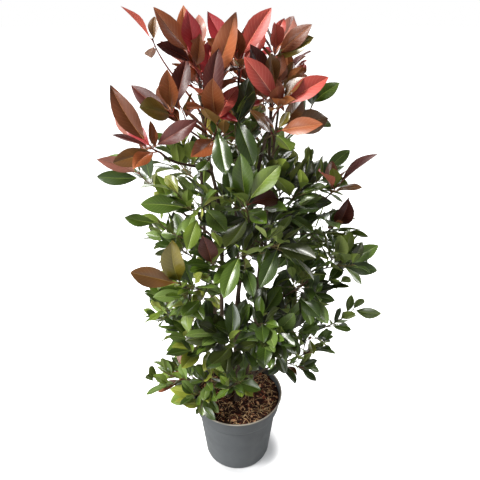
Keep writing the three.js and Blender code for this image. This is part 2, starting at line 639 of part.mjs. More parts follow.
addMesh('pot', pot, 0x6a7073, 0.55);
addMesh('potting_soil', soil, 0x2a1a12, 1);
for (const name of Object.keys(STEMS)) addMesh(name, limbSolid(limbs[name]), 0x5a463a, 0.85);
for (const [name, row] of Object.entries(BOUGHS)) {
  addMesh(name, limbSolid(limbs[name], limbs[row.on], row.at), 0x5a463a, 0.85);
}
for (const { name, row, twigs, leavesPlaced } of masses) {
  let solid = limbSolid(twigs[0], limbs[row.on], row.at);
  for (const twig of twigs.slice(1)) solid = solid.add(solidOf(limbGeometry(twig)));
  for (const leaf of leavesPlaced) solid = solid.add(solidOf(leafGeometry(leaf)));
  addMesh(name, solid, row.colour, 0.45);
}

export default group;
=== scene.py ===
import math

import bpy
import numpy as np
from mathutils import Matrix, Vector, noise


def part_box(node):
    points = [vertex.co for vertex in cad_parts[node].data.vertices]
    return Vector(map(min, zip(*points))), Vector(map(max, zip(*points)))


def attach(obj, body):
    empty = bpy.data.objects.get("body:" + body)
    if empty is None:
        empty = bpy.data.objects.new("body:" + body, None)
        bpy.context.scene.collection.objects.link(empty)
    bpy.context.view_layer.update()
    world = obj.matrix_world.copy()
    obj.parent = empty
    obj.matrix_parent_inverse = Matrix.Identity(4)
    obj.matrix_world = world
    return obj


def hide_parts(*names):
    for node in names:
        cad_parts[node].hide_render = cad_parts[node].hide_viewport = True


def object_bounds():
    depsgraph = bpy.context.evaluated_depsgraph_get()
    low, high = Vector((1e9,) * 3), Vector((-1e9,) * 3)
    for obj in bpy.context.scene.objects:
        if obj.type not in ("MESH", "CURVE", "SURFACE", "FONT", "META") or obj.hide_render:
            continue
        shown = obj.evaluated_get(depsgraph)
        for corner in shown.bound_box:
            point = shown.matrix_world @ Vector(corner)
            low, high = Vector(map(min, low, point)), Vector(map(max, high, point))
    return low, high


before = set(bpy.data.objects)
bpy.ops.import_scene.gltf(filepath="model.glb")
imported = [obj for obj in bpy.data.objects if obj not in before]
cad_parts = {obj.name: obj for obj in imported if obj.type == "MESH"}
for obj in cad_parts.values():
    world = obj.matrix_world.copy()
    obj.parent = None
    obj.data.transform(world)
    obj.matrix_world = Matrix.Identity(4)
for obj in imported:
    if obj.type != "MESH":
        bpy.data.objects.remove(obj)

CAD_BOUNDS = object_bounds()
MM = 0.001

# ---------------------------------------------------------------- sizes of the part, in millimetres
POT_HEIGHT, WALL = 185, 2
BASE_RADIUS, BODY_RADIUS = 82, 96
COLLAR_BOTTOM, COLLAR_RADIUS, COLLAR_TOP_RADIUS = 143, 103, 107.5
RIM_RADIUS, RIM_HEIGHT = 110, 4
DRAIN_SLOTS, DRAIN_BEARING = 3, 90  # the bearing is the first slot's
SLOT_DEPTH, SLOT_WIDTH, SLOT_HEIGHT = 12, 14, 6
SOIL_LEVEL, SOIL_FLAT, SOIL_SLOPE = 172, 42, 78
GAP = 0.3  # between a limb and what it grows on from

STEM_SIDES, STEM_RINGS, RING_CROWDING = 6, 9, 1.4  # the rings of a stem crowd towards its foot
ROOT_FLARE, FLARE_SHARE = 0.35, 0.05
BOUGH_SIDES, BOUGH_RINGS, BOUGH_LIFT = 6, 6, 0.35
TWIG_SIDES, TWIG_RINGS, TWIG_LIFT = 3, 4, 0.45
FLAT_SIDES = (60, 180, 300)  # degrees to the middles of a twig's three sides
TWIG_FOOT, TWIG_GAIN, TWIG_TIP = 1.5, 0.007, 1.1  # the gain is for each millimetre of length
TWIG_SHARE = 0.8  # widest foot of a twig, of its parent's radius
SIDE_FOOT, SIDE_TIP, SIDE_LENGTH, SIDE_RINGS = 1.5, 0.9, 46, 2
SIDE_FROM, SIDE_RANGE, SIDE_DRIFT = 0.46, 0.3, 0.1  # shares of the main twig where side twigs leave
LEAVING = 0.3  # how much a limb leaves along its parent at first
NUDGED = (0, 0.02, -0.02, 0.04, -0.04, 0.06, -0.06)  # shares by which a limb may move along its parent
TWIG_ROOM = 1  # kept round a limb or a twig
SHOOT_AHEAD, SHOOT_OUT, SHOOT_LIFT, SHOOT_BEND = 0.7, 0.8, 0.25, 0.3  # the course of a short shoot

TURN = 137.5  # degrees between one leaf and the next along a shoot
LEAF_THICKNESS, LEAF_SHOULDERS = 0.024, (0.34, 0.7)  # shares of a leaf's length
LEAF_WIDTH, LEAF_LIFT = 0.44, 0.25  # a share of its length, and how much its heading turns up
LEAF_SPREAD, TIP_SPREAD, SPREAD_DRIFT = 74, 44, 12  # degrees from the twig, less towards its tip, at random
CROWDING, TIP_SHRINK = 1.15, 0.3  # leaves stand closer together near the tip of a twig and are shorter there
FACE_RISE, FACE_ALONG = 60, 0.5  # a leaf's face looks up by so many degrees, and a little along the twig
MAIN_START, SIDE_START, SIDE_LEAVES, SIDE_SIZE = 0.42, 0.4, 4, 0.9  # starts are shares of the twig
SHOWN_WIDTH, SHOWN_STEP, SHOWN_BEND, EDGE_LIFT = 0.38, 4, 0.03, 0.4  # for the leaves that draw the outline
LAST_LEAF = 0.98  # share of a twig where its last leaf sits
ROOT_DEPTH = 0.35  # of a leaf's root below the side of its twig
BARE_ROOT, BARE_STALK = 0.3, 0.02  # shares of a leaf that may lie close to its own shoot and to its leaves
CLEARANCE, FINER_CLEARANCE = 1.2, 0.5  # kept round each leaf, and round those that the part doesn't have
NEARBY = ((0, 0), (8, 0), (-8, 0), (0, 8), (0, -8), (16, 0), (-16, 0), (0, 16), (0, -16))  # bearing, rise
NUDGES = (0, 24, -24, 48, -48, 72, -72, 100)  # degrees round the twig
SIDE_STRETCH, LEAF_STRETCH, LEAF_BEND = (0.8, 0.5), (0.74, 0.4), (0.02, 0.06)  # arguments of draw_from

STEMS = {
    "stem_left": (5.8, 2.5, [(-21, -6, 0), (-34, -6, 390), (-32, -4, 640), (-56, -10, 800), (-64, -16, 915)]),
    "stem_centre": (6, 2.5, [(0, -22, 0), (-2, -30, 430), (22, -34, 630), (44, -44, 790), (64, -54, 862)]),
    "stem_right": (6, 2.5, [(23, 0, 0), (52, 2, 310), (46, 4, 480), (62, 14, 720), (62, 2, 925)]),
    "stem_middle": (5.4, 2.3, [(1, 3, 0), (4, 24, 440), (-2, 14, 700), (4, -14, 915)]),
    "stem_back_left": (5.6, 2.5, [(-13, 24, 0), (-62, 66, 430), (-76, 84, 690), (-64, 70, 860)]),
    "stem_back_right": (5.6, 2.5, [(16, 25, 0), (58, 86, 430), (72, 112, 680), (84, 92, 850)]),
}

# Outline leaves turn their faces up and to the front, to the light, but not those of these masses.
TO_LIGHT = np.array((0, -1.0, 0.5))
EDGE_ON = ("crown_far_left", "right_long_red")

# Boughs: the limb they leave, at what share of it, the radius at foot and tip, and the tip.
BOUGHS = {
    "bough_left": ("stem_left", 0.66, 2.9, 2.2, (-126, -84, 806)),
    "bough_left_middle": ("stem_left", 0.44, 3.2, 2.2, (-124, -10, 690)),
    "bough_right_middle": ("stem_right", 0.56, 3.2, 2.2, (168, -14, 690)),
    "bough_right_low": ("stem_right", 0.4, 3.4, 2.2, (160, -50, 552)),
}

# Leaf tints: upper face, underside and rib, in sRGB.
TINTS = {
    "coral": ((176, 72, 62), (198, 112, 88), (220, 142, 118)),
    "crimson": ((146, 34, 40), (184, 84, 68), (192, 84, 76)),
    "copper": ((138, 74, 40), (170, 104, 60), (188, 128, 84)),
    "rust": ((108, 56, 28), (144, 88, 46), (160, 108, 68)),
    "maroon": ((74, 32, 28), (118, 66, 44), (132, 76, 58)),
    "rose": ((160, 104, 90), (186, 142, 118), (196, 150, 130)),
    "bronze": ((104, 68, 30), (130, 94, 42), (150, 116, 64)),
    "olive": ((112, 100, 28), (138, 126, 48), (160, 150, 76)),
    "dusk": ((42, 49, 16), (88, 95, 38), (98, 111, 48)),
    "deep": ((46, 64, 19), (94, 109, 44), (108, 131, 54)),
    "green": ((72, 95, 26), (124, 140, 56), (146, 166, 76)),
    "sage": ((92, 113, 52), (140, 154, 86), (168, 184, 114)),
    "fresh": ((98, 118, 38), (136, 152, 70), (162, 176, 96)),
    "lime": ((126, 134, 48), (158, 164, 78), (184, 188, 108)),
}
RED = ("copper", "crimson", "coral", "maroon", "rust", "copper")
RUST = ("rust", "copper", "bronze", "maroon")
BRONZE = ("bronze", "olive", "rust", "green")
DEEP = ("deep", "green", "dusk", "deep", "sage", "dusk", "green", "deep")
GREEN = ("green", "deep", "fresh", "green", "sage", "deep", "lime")
PALE = ("fresh", "green", "sage", "deep", "green", "lime")
LOW = ("green", "deep", "sage", "deep", "green", "fresh", "rust")

# Foliage: the limb and the share of it where the shoot leaves, the shoot's tip, the leaves along the main
# twig, the side twigs, the leaf length, the tints of its sprays, and any leaves that draw the outline, each
# (bearing, rise, length, tint).
MASSES = {
    "crown_far_left": ("stem_left", 0.86, (-142, 0, 980), 1, 0, 66, RUST, [
        (200, 50, 74, "crimson"), (108, -20, 68, "rose")]),
    "crown_left": ("stem_left", 1, (-74, -22, 960), 4, 0, 82, RED, [
        (216, 48, 96, "copper"), (124, 72, 84, "copper"), (268, 56, 90, "crimson"), (82, 58, 88, "rose"),
        (230, 26, 80, "maroon"), (283, 44, 76, "rust"), (131, 36, 88, "rose")]),
    "crown_middle": ("stem_left", 0.8, (-44, -54, 916), 5, 0, 80, RED, [
        (321, 63, 122, "copper"), (104, 48, 96, "crimson"), (75, 62, 70, "copper")]),
    "crown_front": ("stem_left", 0.72, (-29, -98, 868), 5, 0, 78, RUST, [
        (74, 76, 108, "maroon"), (268, 48, 98, "copper"), (58, 39, 84, "coral"), (285, -48, 88, "deep")]),
    "crown_centre": ("stem_middle", 1, (6, -30, 952), 5, 0, 80, RED, [
        (344, 57, 94, "coral"), (157, 54, 98, "crimson"), (265, 46, 80, "copper"), (54, 63, 82, "maroon"),
        (90, 6, 72, "olive")]),
    "crown_right": ("stem_right", 1, (68, -2, 970), 4, 0, 78, RED, [
        (57, 38, 82, "rose"), (117, -8, 70, "crimson"), (266, 40, 86, "coral"), (120, 46, 84, "crimson"),
        (308, 38, 86, "rust"), (330, 28, 80, "olive")]),
    "crown_right_inner": ("stem_right", 0.88, (66, -30, 914), 5, 0, 74, RUST, [
        (212, 50, 86, "maroon"), (258, 46, 78, "bronze"), (70, 50, 60, "rust")]),
    "crown_right_low": ("stem_centre", 1, (74, -64, 884), 5, 0, 80, RUST, [
        (205, 50, 102, "coral"), (353, 33, 92, "coral"), (40, 22, 84, "bronze"), (95, 38, 78, "copper")]),
    "right_bronze": ("stem_centre", 0.84, (68, -92, 850), 4, 0, 70, BRONZE, [
        (38, 32, 78, "bronze"), (333, 30, 80, "copper"), (12, 8, 110, "bronze")]),
    "left_bronze": ("bough_left", 1, (-142, -102, 824), 4, 0, 78, RUST, [
        (192, 62, 112, "rust"), (350, 32, 94, "maroon"), (149, 34, 74, "crimson"), (144, 48, 110, "rose"),
        (250, -6, 74, "copper"), (207, 10, 78, "bronze")]),
    "left_copper": ("stem_left", 0.76, (-112, -58, 872), 4, 0, 80, RUST, [
        (277, 48, 100, "copper"), (50, 66, 98, "maroon"), (249, 34, 102, "olive"), (157, 31, 98, "maroon"),
        (113, 43, 92, "rust")]),
    "crown_back_left": ("stem_back_left", 1, (-58, 70, 914), 6, 2, 86, RED),
    "crown_back": ("stem_back_right", 0.86, (18, 80, 926), 6, 2, 86, RED),
    "crown_back_right": ("stem_back_right", 1, (70, 92, 896), 6, 2, 80, RED),
    "right_high": ("stem_back_right", 0.8, (146, 48, 868), 3, 0, 62, GREEN, [
        (310, 37, 74, "green"), (259, 40, 70, "deep")]),
    "centre_upper": ("stem_middle", 0.78, (-2, -62, 868), 7, 1, 84, DEEP, [(302, -50, 92, "deep")]),
    "left_side_high": ("bough_left_middle", 1, (-188, 0, 744), 6, 0, 82, GREEN, [
        (204, 27, 86, "rose"), (152, 18, 90, "green"), (194, 6, 86, "deep")]),
    "left_side_low": ("stem_left", 0.42, (-148, -54, 666), 4, 0, 66, GREEN, [(207, 21, 70, "green")]),
    "left_bronze_low": ("stem_left", 0.34, (-108, -118, 568), 5, 1, 74, GREEN, [
        (196, 24, 95, "bronze"), (262, 70, 115, "olive")]),
    "front_left": ("stem_left", 0.56, (-86, -98, 712), 6, 0, 80, GREEN, [(196, 12, 84, "green")]),
    "front_green": ("stem_centre", 0.52, (18, -128, 736), 5, 0, 86, DEEP, [
        (242, 76, 92, "green"), (321, 53, 94, "fresh"), (43, -8, 84, "maroon")]),
    "front_bronze": ("stem_left", 0.39, (-46, -122, 616), 5, 1, 72, DEEP, [(262, 54, 98, "maroon")]),
    "front_middle": ("stem_centre", 0.44, (10, -128, 640), 7, 1, 90, DEEP, [(240, -44, 88, "green")]),
    "front_right": ("stem_centre", 0.48, (78, -122, 654), 6, 1, 86, DEEP, [(235, -44, 86, "deep")]),
    "right_inner": ("stem_right", 0.66, (122, -62, 744), 5, 1, 82, DEEP),
    "right_side_high": ("stem_back_right", 0.64, (174, 40, 728), 6, 0, 76, GREEN, [
        (19, 38, 78, "green"), (325, 0, 60, "fresh")]),
    "right_long_red": ("bough_right_middle", 1, (190, -22, 724), 5, 0, 70, BRONZE, [
        (353, 46, 98, "maroon"), (233, 40, 92, "coral")]),
    "right_side_middle": ("bough_right_middle", 0.5, (202, 14, 624), 5, 1, 70, GREEN, [
        (280, 54, 106, "maroon"), (267, 26, 84, "copper")]),
    "right_front_middle": ("bough_right_low", 0.5, (128, -104, 572), 5, 1, 80, DEEP),
    "right_side_low": ("bough_right_low", 1, (206, -58, 578), 5, 1, 78, DEEP, [
        (350, 34, 82, "green"), (343, -1, 75, "deep")]),
    "back_high_left": ("stem_back_left", 0.66, (-132, 118, 742), 6, 2, 86, GREEN),
    "back_high": ("stem_back_left", 0.8, (-24, 146, 812), 8, 2, 82, BRONZE),
    "back_high_right": ("stem_back_right", 0.62, (66, 178, 742), 6, 2, 86, GREEN),
    "back_middle_left": ("stem_back_left", 0.4, (-160, 96, 566), 7, 2, 80, DEEP),
    "back_middle": ("stem_back_left", 0.48, (-20, 186, 590), 8, 2, 82, DEEP),
    "back_middle_right": ("stem_back_right", 0.4, (154, 118, 556), 8, 2, 80, DEEP),
    "left_low_high": ("stem_left", 0.24, (-168, -14, 470), 6, 2, 70, PALE),
    "left_low_front": ("stem_left", 0.17, (-106, -72, 404), 6, 2, 74, PALE),
    "front_low": ("stem_centre", 0.2, (-14, -124, 428), 8, 2, 84, DEEP, [(80, 72, 90, "deep")]),
    "front_low_right": ("stem_centre", 0.26, (86, -108, 436), 7, 2, 82, DEEP),
    "right_low_inner": ("stem_right", 0.3, (168, -48, 478), 6, 1, 74, DEEP),
    "right_low": ("stem_right", 0.22, (268, 14, 420), 6, 2, 62, GREEN, [(330, 10, 64, "fresh")]),
    "right_foot": ("stem_right", 0.1, (196, -22, 356), 6, 2, 62, LOW),
    "back_low_left": ("stem_back_left", 0.13, (-118, 108, 346), 8, 2, 74, DEEP),
    "back_low_right": ("stem_back_right", 0.13, (104, 134, 330), 8, 2, 74, DEEP),
    "left_foot": ("stem_left", 0.03, (-172, -26, 268), 6, 1, 68, LOW),
    "left_rim": ("stem_left", 0.06, (-100, -80, 250), 6, 1, 70, PALE),
    "front_foot": ("stem_centre", 0.06, (2, -90, 298), 7, 1, 58, PALE),
}

# ---------------------------------------------------------------- vectors and curves
UP = np.array((0.0, 0.0, 1.0))


def seeded(seed):
    """Random numbers from 0 to 1, the same on every run and in the part's source."""
    def draw():
        nonlocal seed
        seed = seed * 16807 % 2147483647
        return seed / 2147483647
    return draw


def draw_from(random, least, span):
    """A random number from the least up, by the span at most."""
    return least + span * random()


def unit(v):
    return v / math.sqrt(float(v @ v))


def cross(a, b):
    return np.array((a[1] * b[2] - a[2] * b[1], a[2] * b[0] - a[0] * b[2], a[0] * b[1] - a[1] * b[0]))


def mix(a, b, share):
    return a + (b - a) * share


def turned(degrees):
    """The cosine and sine of an angle."""
    return math.cos(math.radians(degrees)), math.sin(math.radians(degrees))


def turns_of(sides):
    """The angles of the sides of a round thing, in radians."""
    return np.arange(sides) * 2 * math.pi / sides


def heading(bearing, rise):
    """The unit vector at a bearing (0 is +X, 90 is +Y) and a rise above the level, in degrees."""
    (x, y), (level, z) = turned(bearing), turned(rise)
    return np.array((level * x, level * y, z))


def across(direction):
    """Two unit vectors across a direction."""
    reference = np.array((1.0, 0, 0)) if abs(direction[0]) < 0.8 else np.array((0, 1.0, 0))
    side = unit(cross(reference, direction))
    return side, cross(direction, side)


def outwards(direction, angle):
    """The unit vector across a direction at an angle round it, in degrees."""
    (side, other), (x, y) = across(direction), turned(angle)
    return side * x + other * y


def spline(points):
    """A uniform Catmull-Rom curve through the points, as a function of the share from 0 to 1."""
    inner = [np.array(p, float) for p in points]
    padded = [2 * inner[0] - inner[1], *inner, 2 * inner[-1] - inner[-2]]

    def point(share):
        place = (len(inner) - 1) * share
        i = min(int(place), len(inner) - 2)
        w = place - i
        before, a, b, after = padded[i:i + 4]
        leave, arrive = 0.5 * (b - before), 0.5 * (after - a)
        return (a + leave * w + (-3 * a + 3 * b - 2 * leave - arrive) * w ** 2
                + (2 * a - 2 * b + leave + arrive) * w ** 3)
    return point


def bezier(*p):
    """A quadratic or cubic Bezier curve, as a function of the share from 0 to 1."""
    degree = len(p) - 1

    def point(share):
        return sum(math.comb(degree, i) * (1 - share) ** (degree - i) * share ** i * p[i]
                   for i in range(degree + 1))
    return point


def length_of(curve, steps=200):
    """The length of a curve, a function of the share."""
    run = [curve(i / steps) for i in range(steps + 1)]
    return sum(math.dist(a, b) for a, b in zip(run, run[1:]))


def shoot_curve(start, axis, out, length, lift=SHOOT_LIFT):
    """The curve of a short shoot that leaves its parent along the vector out and bends ahead and up."""
    ahead = unit(axis * SHOOT_AHEAD + out * SHOOT_OUT + UP * lift)
    return bezier(start, start + unit(mix(ahead, out, SHOOT_BEND)) * length / 2, start + ahead * length)


def solid(triangles):
    """Triangles with the precision of the part's own."""
    return np.array(triangles).astype(np.float32).astype(float)


def walls(rows):
    """The triangles between rows of points that go round and end where they start."""
    return [face for low, high in zip(rows, rows[1:]) for k in range(len(low) - 1)
            for face in ((high[k], low[k], high[k + 1]), (low[k], low[k + 1], high[k + 1]))]


class Limb:
    """A stem, bough or twig: a tapering column along a curve, with rings at its own shares of the curve."""

    def __init__(self, name, point, radius, sides, rings, flat_foot=False):
        self.name, self.point, self.radius, self.sides, self.rings = name, point, radius, sides, rings
        self.flat_foot = flat_foot
        self.reference = across(unit(point(1) - point(0)))[0]

    def tangent(self, share):
        return unit(self.point(min(1, share + 0.0001)) - self.point(max(0, share - 0.0001)))

    def length(self):
        return length_of(self.point)

    def section(self, share):
        """Two unit vectors across the limb."""
        ahead = UP if share == 0 and self.flat_foot else self.tangent(share)
        side = unit(cross(self.reference, ahead))
        return side, cross(ahead, side)

    def heart(self, share):
        """The point on the straight line between two rings."""
        nxt = max(1, next(i for i, ring in enumerate(self.rings) if ring >= share))
        low, high = self.rings[nxt - 1], self.rings[nxt]
        return mix(self.point(low), self.point(high), (share - low) / (high - low))

    def triangles(self, swell=0.0):
        """The part's own faceted column, as an array of triangles."""
        rows, ends = [], []
        turns = [2 * math.pi * k / self.sides for k in range(self.sides + 1)]
        for share in self.rings:
            side, other = self.section(share)
            heart, r = self.point(share), self.radius(share) + swell
            rows.append([heart + side * math.sin(t) * r - other * math.cos(t) * r for t in turns])
            if share in (0, 1):
                ends += [(heart, a, b) for a, b in zip(rows[-1], rows[-1][1:])]
        return solid(walls(rows) + ends)


def tapered(name, point, foot, end, sides, rings):
    return Limb(name, point, lambda share: foot + (end - foot) * share, sides,
                [i / rings for i in range(rings + 1)])


# ---------------------------------------------------------------- what is already in place
class Crowd:
    """Everything that has its place, as triangles with their boxes, owners and kinds."""

    def __init__(self, room=8192):
        self.low, self.high = np.zeros((room, 3)), np.zeros((room, 3))
        self.owner, self.is_leaf = np.zeros(room, int), np.zeros(room, bool)
        self.faces, self.names = [], {}

    def number(self, name):
        return self.names.setdefault(name, len(self.names))

    def add(self, faces, name, is_leaf=False):
        i = len(self.faces)
        self.low[i], self.high[i] = faces.min((0, 1)), faces.max((0, 1))
        self.owner[i], self.is_leaf[i] = self.number(name), is_leaf
        self.faces.append(faces)

    def touches(self, probe, chosen):
        n, low, high = len(self.faces), probe.min((0, 1)), probe.max((0, 1))
        near = chosen[:n] & (self.low[:n] <= high).all(1) & (self.high[:n] >= low).all(1)
        met = [self.faces[i] for i in np.flatnonzero(near)]
        if not met:
            return False
        others = np.concatenate(met)
        return pierces(probe, others) or pierces(others, probe)

    def has_room(self, name, whole=None, own_twigs=None, own_leaves=None):
        """Whether the probes given touch nothing of other owners, of the owner's twigs, of its leaves."""
        own = self.owner == self.number(name)
        groups = ((whole, ~own), (own_twigs, own & ~self.is_leaf), (own_leaves, own & self.is_leaf))
        return not any(probe is not None and self.touches(probe, chosen) for probe, chosen in groups)


def pierces(a, b):
    """Whether an edge of one set of triangles passes through another set."""
    start = a.reshape(-1, 3)[:, None]
    run = a[:, (1, 2, 0)].reshape(-1, 3)[:, None] - start
    corner, first, second = b[None, :, 0], b[None, :, 1] - b[None, :, 0], b[None, :, 2] - b[None, :, 0]
    h = np.cross(run, second)
    volume = (first * h).sum(2)
    volume[np.abs(volume) < 1e-12] = np.nan
    offset = start - corner
    u = (offset * h).sum(2) / volume
    q = np.cross(offset, first)
    v = (run * q).sum(2) / volume
    along = (second * q).sum(2) / volume
    with np.errstate(invalid="ignore"):
        return bool(((u >= 0) & (u <= 1) & (v >= 0) & (u + v <= 1) & (along >= 0) & (along <= 1)).any())


crowd = Crowd()


# ---------------------------------------------------------------- limbs by the part's rule
def stem_limb(name, foot, tip, path):
    points = [(x, y, z if i else SOIL_LEVEL + GAP) for i, (x, y, z) in enumerate(path)]

    def radius(share):
        return mix(foot, tip, share) * (1 + ROOT_FLARE * max(0, 1 - share / FLARE_SHARE) ** 2)
    rings = [(i / STEM_RINGS) ** RING_CROWDING for i in range(STEM_RINGS + 1)]
    return Limb(name, spline(points), radius, STEM_SIDES, rings, flat_foot=True)


def side_curve(parent, at, tip, lift):
    """The curve of a limb that leaves its parent's side, or grows on from its tip, and ends turned up."""
    start, along, tip = parent.heart(at), parent.tangent(at), np.array(tip, float)
    if at == 1:
        start = start + along * GAP
    chord = tip - start
    reach = math.sqrt(chord @ chord) / 3
    chord = unit(chord)
    leaving = along if at == 1 else unit(mix(chord, along, LEAVING))
    return bezier(start, start + leaving * reach, tip - unit(mix(chord, UP, lift)) * reach, tip)


def grow(parent, at, build):
    """A limb is moved along its parent until it touches no other limb."""
    for nudge in NUDGED:
        limb = build(1 if at == 1 else at + nudge)
        if crowd.has_room(parent.name, limb.triangles(TWIG_ROOM)):
            return limb
    return build(at)


def bough_limb(name, on, at, foot, end, tip):
    def build(share):
        curve = side_curve(limbs[on], share, tip, BOUGH_LIFT)
        return tapered(name, curve, foot, end, BOUGH_SIDES, BOUGH_RINGS)
    return grow(limbs[on], at, build)


def main_twig(name, on, at, tip):
    parent = limbs[on]

    def build(share):
        curve = side_curve(parent, share, tip, TWIG_LIFT)
        wide = TWIG_FOOT + TWIG_GAIN * length_of(curve)
        foot = parent.radius(1) if share == 1 else min(wide, TWIG_SHARE * parent.radius(share))
        return tapered(name, curve, foot, TWIG_TIP, TWIG_SIDES, TWIG_RINGS)
    return grow(parent, at, build)


# ---------------------------------------------------------------- leaves by the part's rule
class Leaf:
    """Where a leaf sits: its root, the way it points, its upper face, and its sizes."""

    def __init__(self, twig, share, ahead, towards, length, width, bend):
        self.ahead, self.length, self.width, self.bend = ahead, length, width, bend
        self.shown = False
        self.face = unit(towards - ahead * (towards @ ahead))
        self.side = cross(ahead, self.face)
        side, other = twig.section(share)
        ways = [side * y - other * x for x, y in map(turned, FLAT_SIDES)]
        way = max(ways, key=lambda way: way @ ahead)
        self.root = twig.heart(share) + way * (twig.radius(share) / 2 - ROOT_DEPTH)

    def at(self, share, sideways, lift):
        drop = -self.bend * self.length * share * share
        return (self.root + self.ahead * share * self.length + self.side * sideways
                + self.face * (drop + lift))

    def triangles(self, margin=0.0, start=0.0):
        """The part's own blade of eight faces."""
        half, brow = self.width / 2 + margin, self.length * LEAF_THICKNESS + margin
        root, tip = self.at(start, 0, -margin), self.at(1, 0, -margin)
        a, b, c, d = [self.at(share, way * half, brow) for way in (1, -1) for share in LEAF_SHOULDERS]
        return solid(((tip, b, root), (b, a, root), (a, c, root), (c, tip, root),
                      (tip, c, d), (c, a, d), (a, b, d), (b, tip, d)))


def place_leaf(leaf, mass, clearance=CLEARANCE):
    """Adds a leaf to its mass if it has room."""
    whole, blade = leaf.triangles(clearance), leaf.triangles(clearance, BARE_ROOT)
    if not crowd.has_room(mass.name, whole, blade, blade):
        return False
    if not crowd.has_room(mass.name, own_leaves=leaf.triangles(0, BARE_STALK)):
        return False
    crowd.add(leaf.triangles(), mass.name, True)
    mass.leaves.append(leaf)
    return True


class Mass:
    """A mass of foliage: its main twig, all its twigs, its leaves, and two runs of random numbers."""

    def __init__(self, name, number, row):
        self.name, self.number = name, number
        self.on, self.at, tip, self.count, self.side_twigs, self.leaf, self.tints, *shown = row
        self.shown = shown[0] if shown else []
        self.red = self.tints in (RED, RUST)
        self.main = main_twig(name, self.on, self.at, tip)
        crowd.add(self.main.triangles(), name)
        self.twigs, self.leaves = [self.main], []
        self.random, self.finer = seeded(1000 + 77 * number), seeded(50000 + 191 * number)

    def holds(self, point, margin=0):
        """Whether a point is in the reach of the mass."""
        low, high = self.reach
        return bool((point > low + margin).all() and (point < high - margin).all())


def place_shown(mass):
    """The leaves that draw the outline."""
    step = SHOWN_STEP / mass.main.length()
    towards = mass.main.tangent(1) + UP * EDGE_LIFT if mass.name in EDGE_ON else TO_LIGHT
    for k, (bearing, rise, length, tint) in enumerate(mass.shown):
        share, width = LAST_LEAF - step * k, length * SHOWN_WIDTH
        for turn, lift in NEARBY:
            ahead = heading(bearing + turn, rise + lift)
            leaf = Leaf(mass.main, share, ahead, towards, length, width, SHOWN_BEND)
            if place_leaf(leaf, mass):
                leaf.tint, leaf.shown = tint, True
                break


def side_twig(mass, parent, share, angle, length, foot=SIDE_FOOT, tip=SIDE_TIP, own_leaves=False):
    """A side twig, tried at six bearings round its parent."""
    start, axis = parent.heart(share), parent.tangent(share)
    for turn in range(0, 360, 60):
        curve = shoot_curve(start, axis, outwards(axis, angle + turn), length)
        twig = tapered(mass.name, curve, foot, tip, TWIG_SIDES, SIDE_RINGS)
        probe = twig.triangles(TWIG_ROOM)
        if crowd.has_room(mass.name, probe, own_leaves=probe if own_leaves else None):
            crowd.add(twig.triangles(), mass.name)
            mass.twigs.append(twig)
            break


def place_side_twigs(mass):
    for k in range(mass.side_twigs):
        share = SIDE_FROM + SIDE_RANGE * k / mass.side_twigs + SIDE_DRIFT * mass.random()
        angle = mass.random() * 360
        side_twig(mass, mass.main, share, angle, SIDE_LENGTH * draw_from(mass.random, *SIDE_STRETCH))


def place_spiral(mass, twig, count, start, length, random, finer=False):
    """Leaves along a twig from its tip back, in a spiral, each tried at a few turns round the twig. The finer
    ones, which the part doesn't have, stand closer together and keep to the reach of their mass."""
    turn = random() * 360
    for k in range(count):
        turn += TURN
        share = LAST_LEAF - (LAST_LEAF - start) * (k / count) ** CROWDING
        near_tip = 1 - k / count
        spread = math.radians(LEAF_SPREAD - TIP_SPREAD * near_tip + SPREAD_DRIFT * (random() - 0.5))
        size = length * draw_from(random, *LEAF_STRETCH) * (1 - TIP_SHRINK * near_tip ** 4)
        bend = draw_from(random, *LEAF_BEND)
        axis = twig.tangent(share)
        towards = heading(360 * random(), FACE_RISE) + axis * FACE_ALONG
        for nudge in NUDGES:
            out = outwards(axis, turn + nudge)
            ahead = unit(axis * math.cos(spread) + out * math.sin(spread) + UP * LEAF_LIFT)
            leaf = Leaf(twig, share, ahead, towards, size, size * LEAF_WIDTH, bend)
            if finer and not mass.holds(leaf.at(1, 0, 0)):
                continue
            if place_leaf(leaf, mass, FINER_CLEARANCE if finer else CLEARANCE):
                break


# ---------------------------------------------------------------- growing the shrub
POT_SIDES = 36
POT_OUTLINE = [
    (0, 0), (BASE_RADIUS - 4, 0), (BASE_RADIUS, 4), (BODY_RADIUS, COLLAR_BOTTOM - 2),
    (COLLAR_RADIUS, COLLAR_BOTTOM + 1), (COLLAR_TOP_RADIUS, POT_HEIGHT - RIM_HEIGHT - 2),
    (RIM_RADIUS, POT_HEIGHT - RIM_HEIGHT), (RIM_RADIUS, POT_HEIGHT - 1.5), (RIM_RADIUS - 1.5, POT_HEIGHT),
    (COLLAR_TOP_RADIUS - WALL, POT_HEIGHT - 1), (COLLAR_TOP_RADIUS - 8, SOIL_LEVEL - 6),
    (SOIL_SLOPE, SOIL_LEVEL - 3), (SOIL_FLAT, SOIL_LEVEL), (0, SOIL_LEVEL)]

turns = [2 * math.pi * k / POT_SIDES for k in range(POT_SIDES + 1)]
pot_rows = [[(r * math.cos(t), r * math.sin(t), z) for t in turns] for r, z in POT_OUTLINE]
crowd.add(np.array(walls(pot_rows)), "pot")
limbs = {}
for build, rows in ((stem_limb, STEMS), (bough_limb, BOUGHS)):
    for name, row in rows.items():
        limbs[name] = build(name, *row)
        crowd.add(limbs[name].triangles(), name)
masses = [Mass(name, number, row) for number, (name, row) in enumerate(MASSES.items())]
for mass in masses:
    place_shown(mass)
for mass in masses:
    place_side_twigs(mass)
for mass in masses:
    place_spiral(mass, mass.main, mass.count, MAIN_START, mass.leaf, mass.random)
    for twig in mass.twigs[1:]:
        place_spiral(mass, twig, SIDE_LEAVES, SIDE_START, mass.leaf * SIDE_SIZE, mass.random)
    mass.coarse = len(mass.leaves)

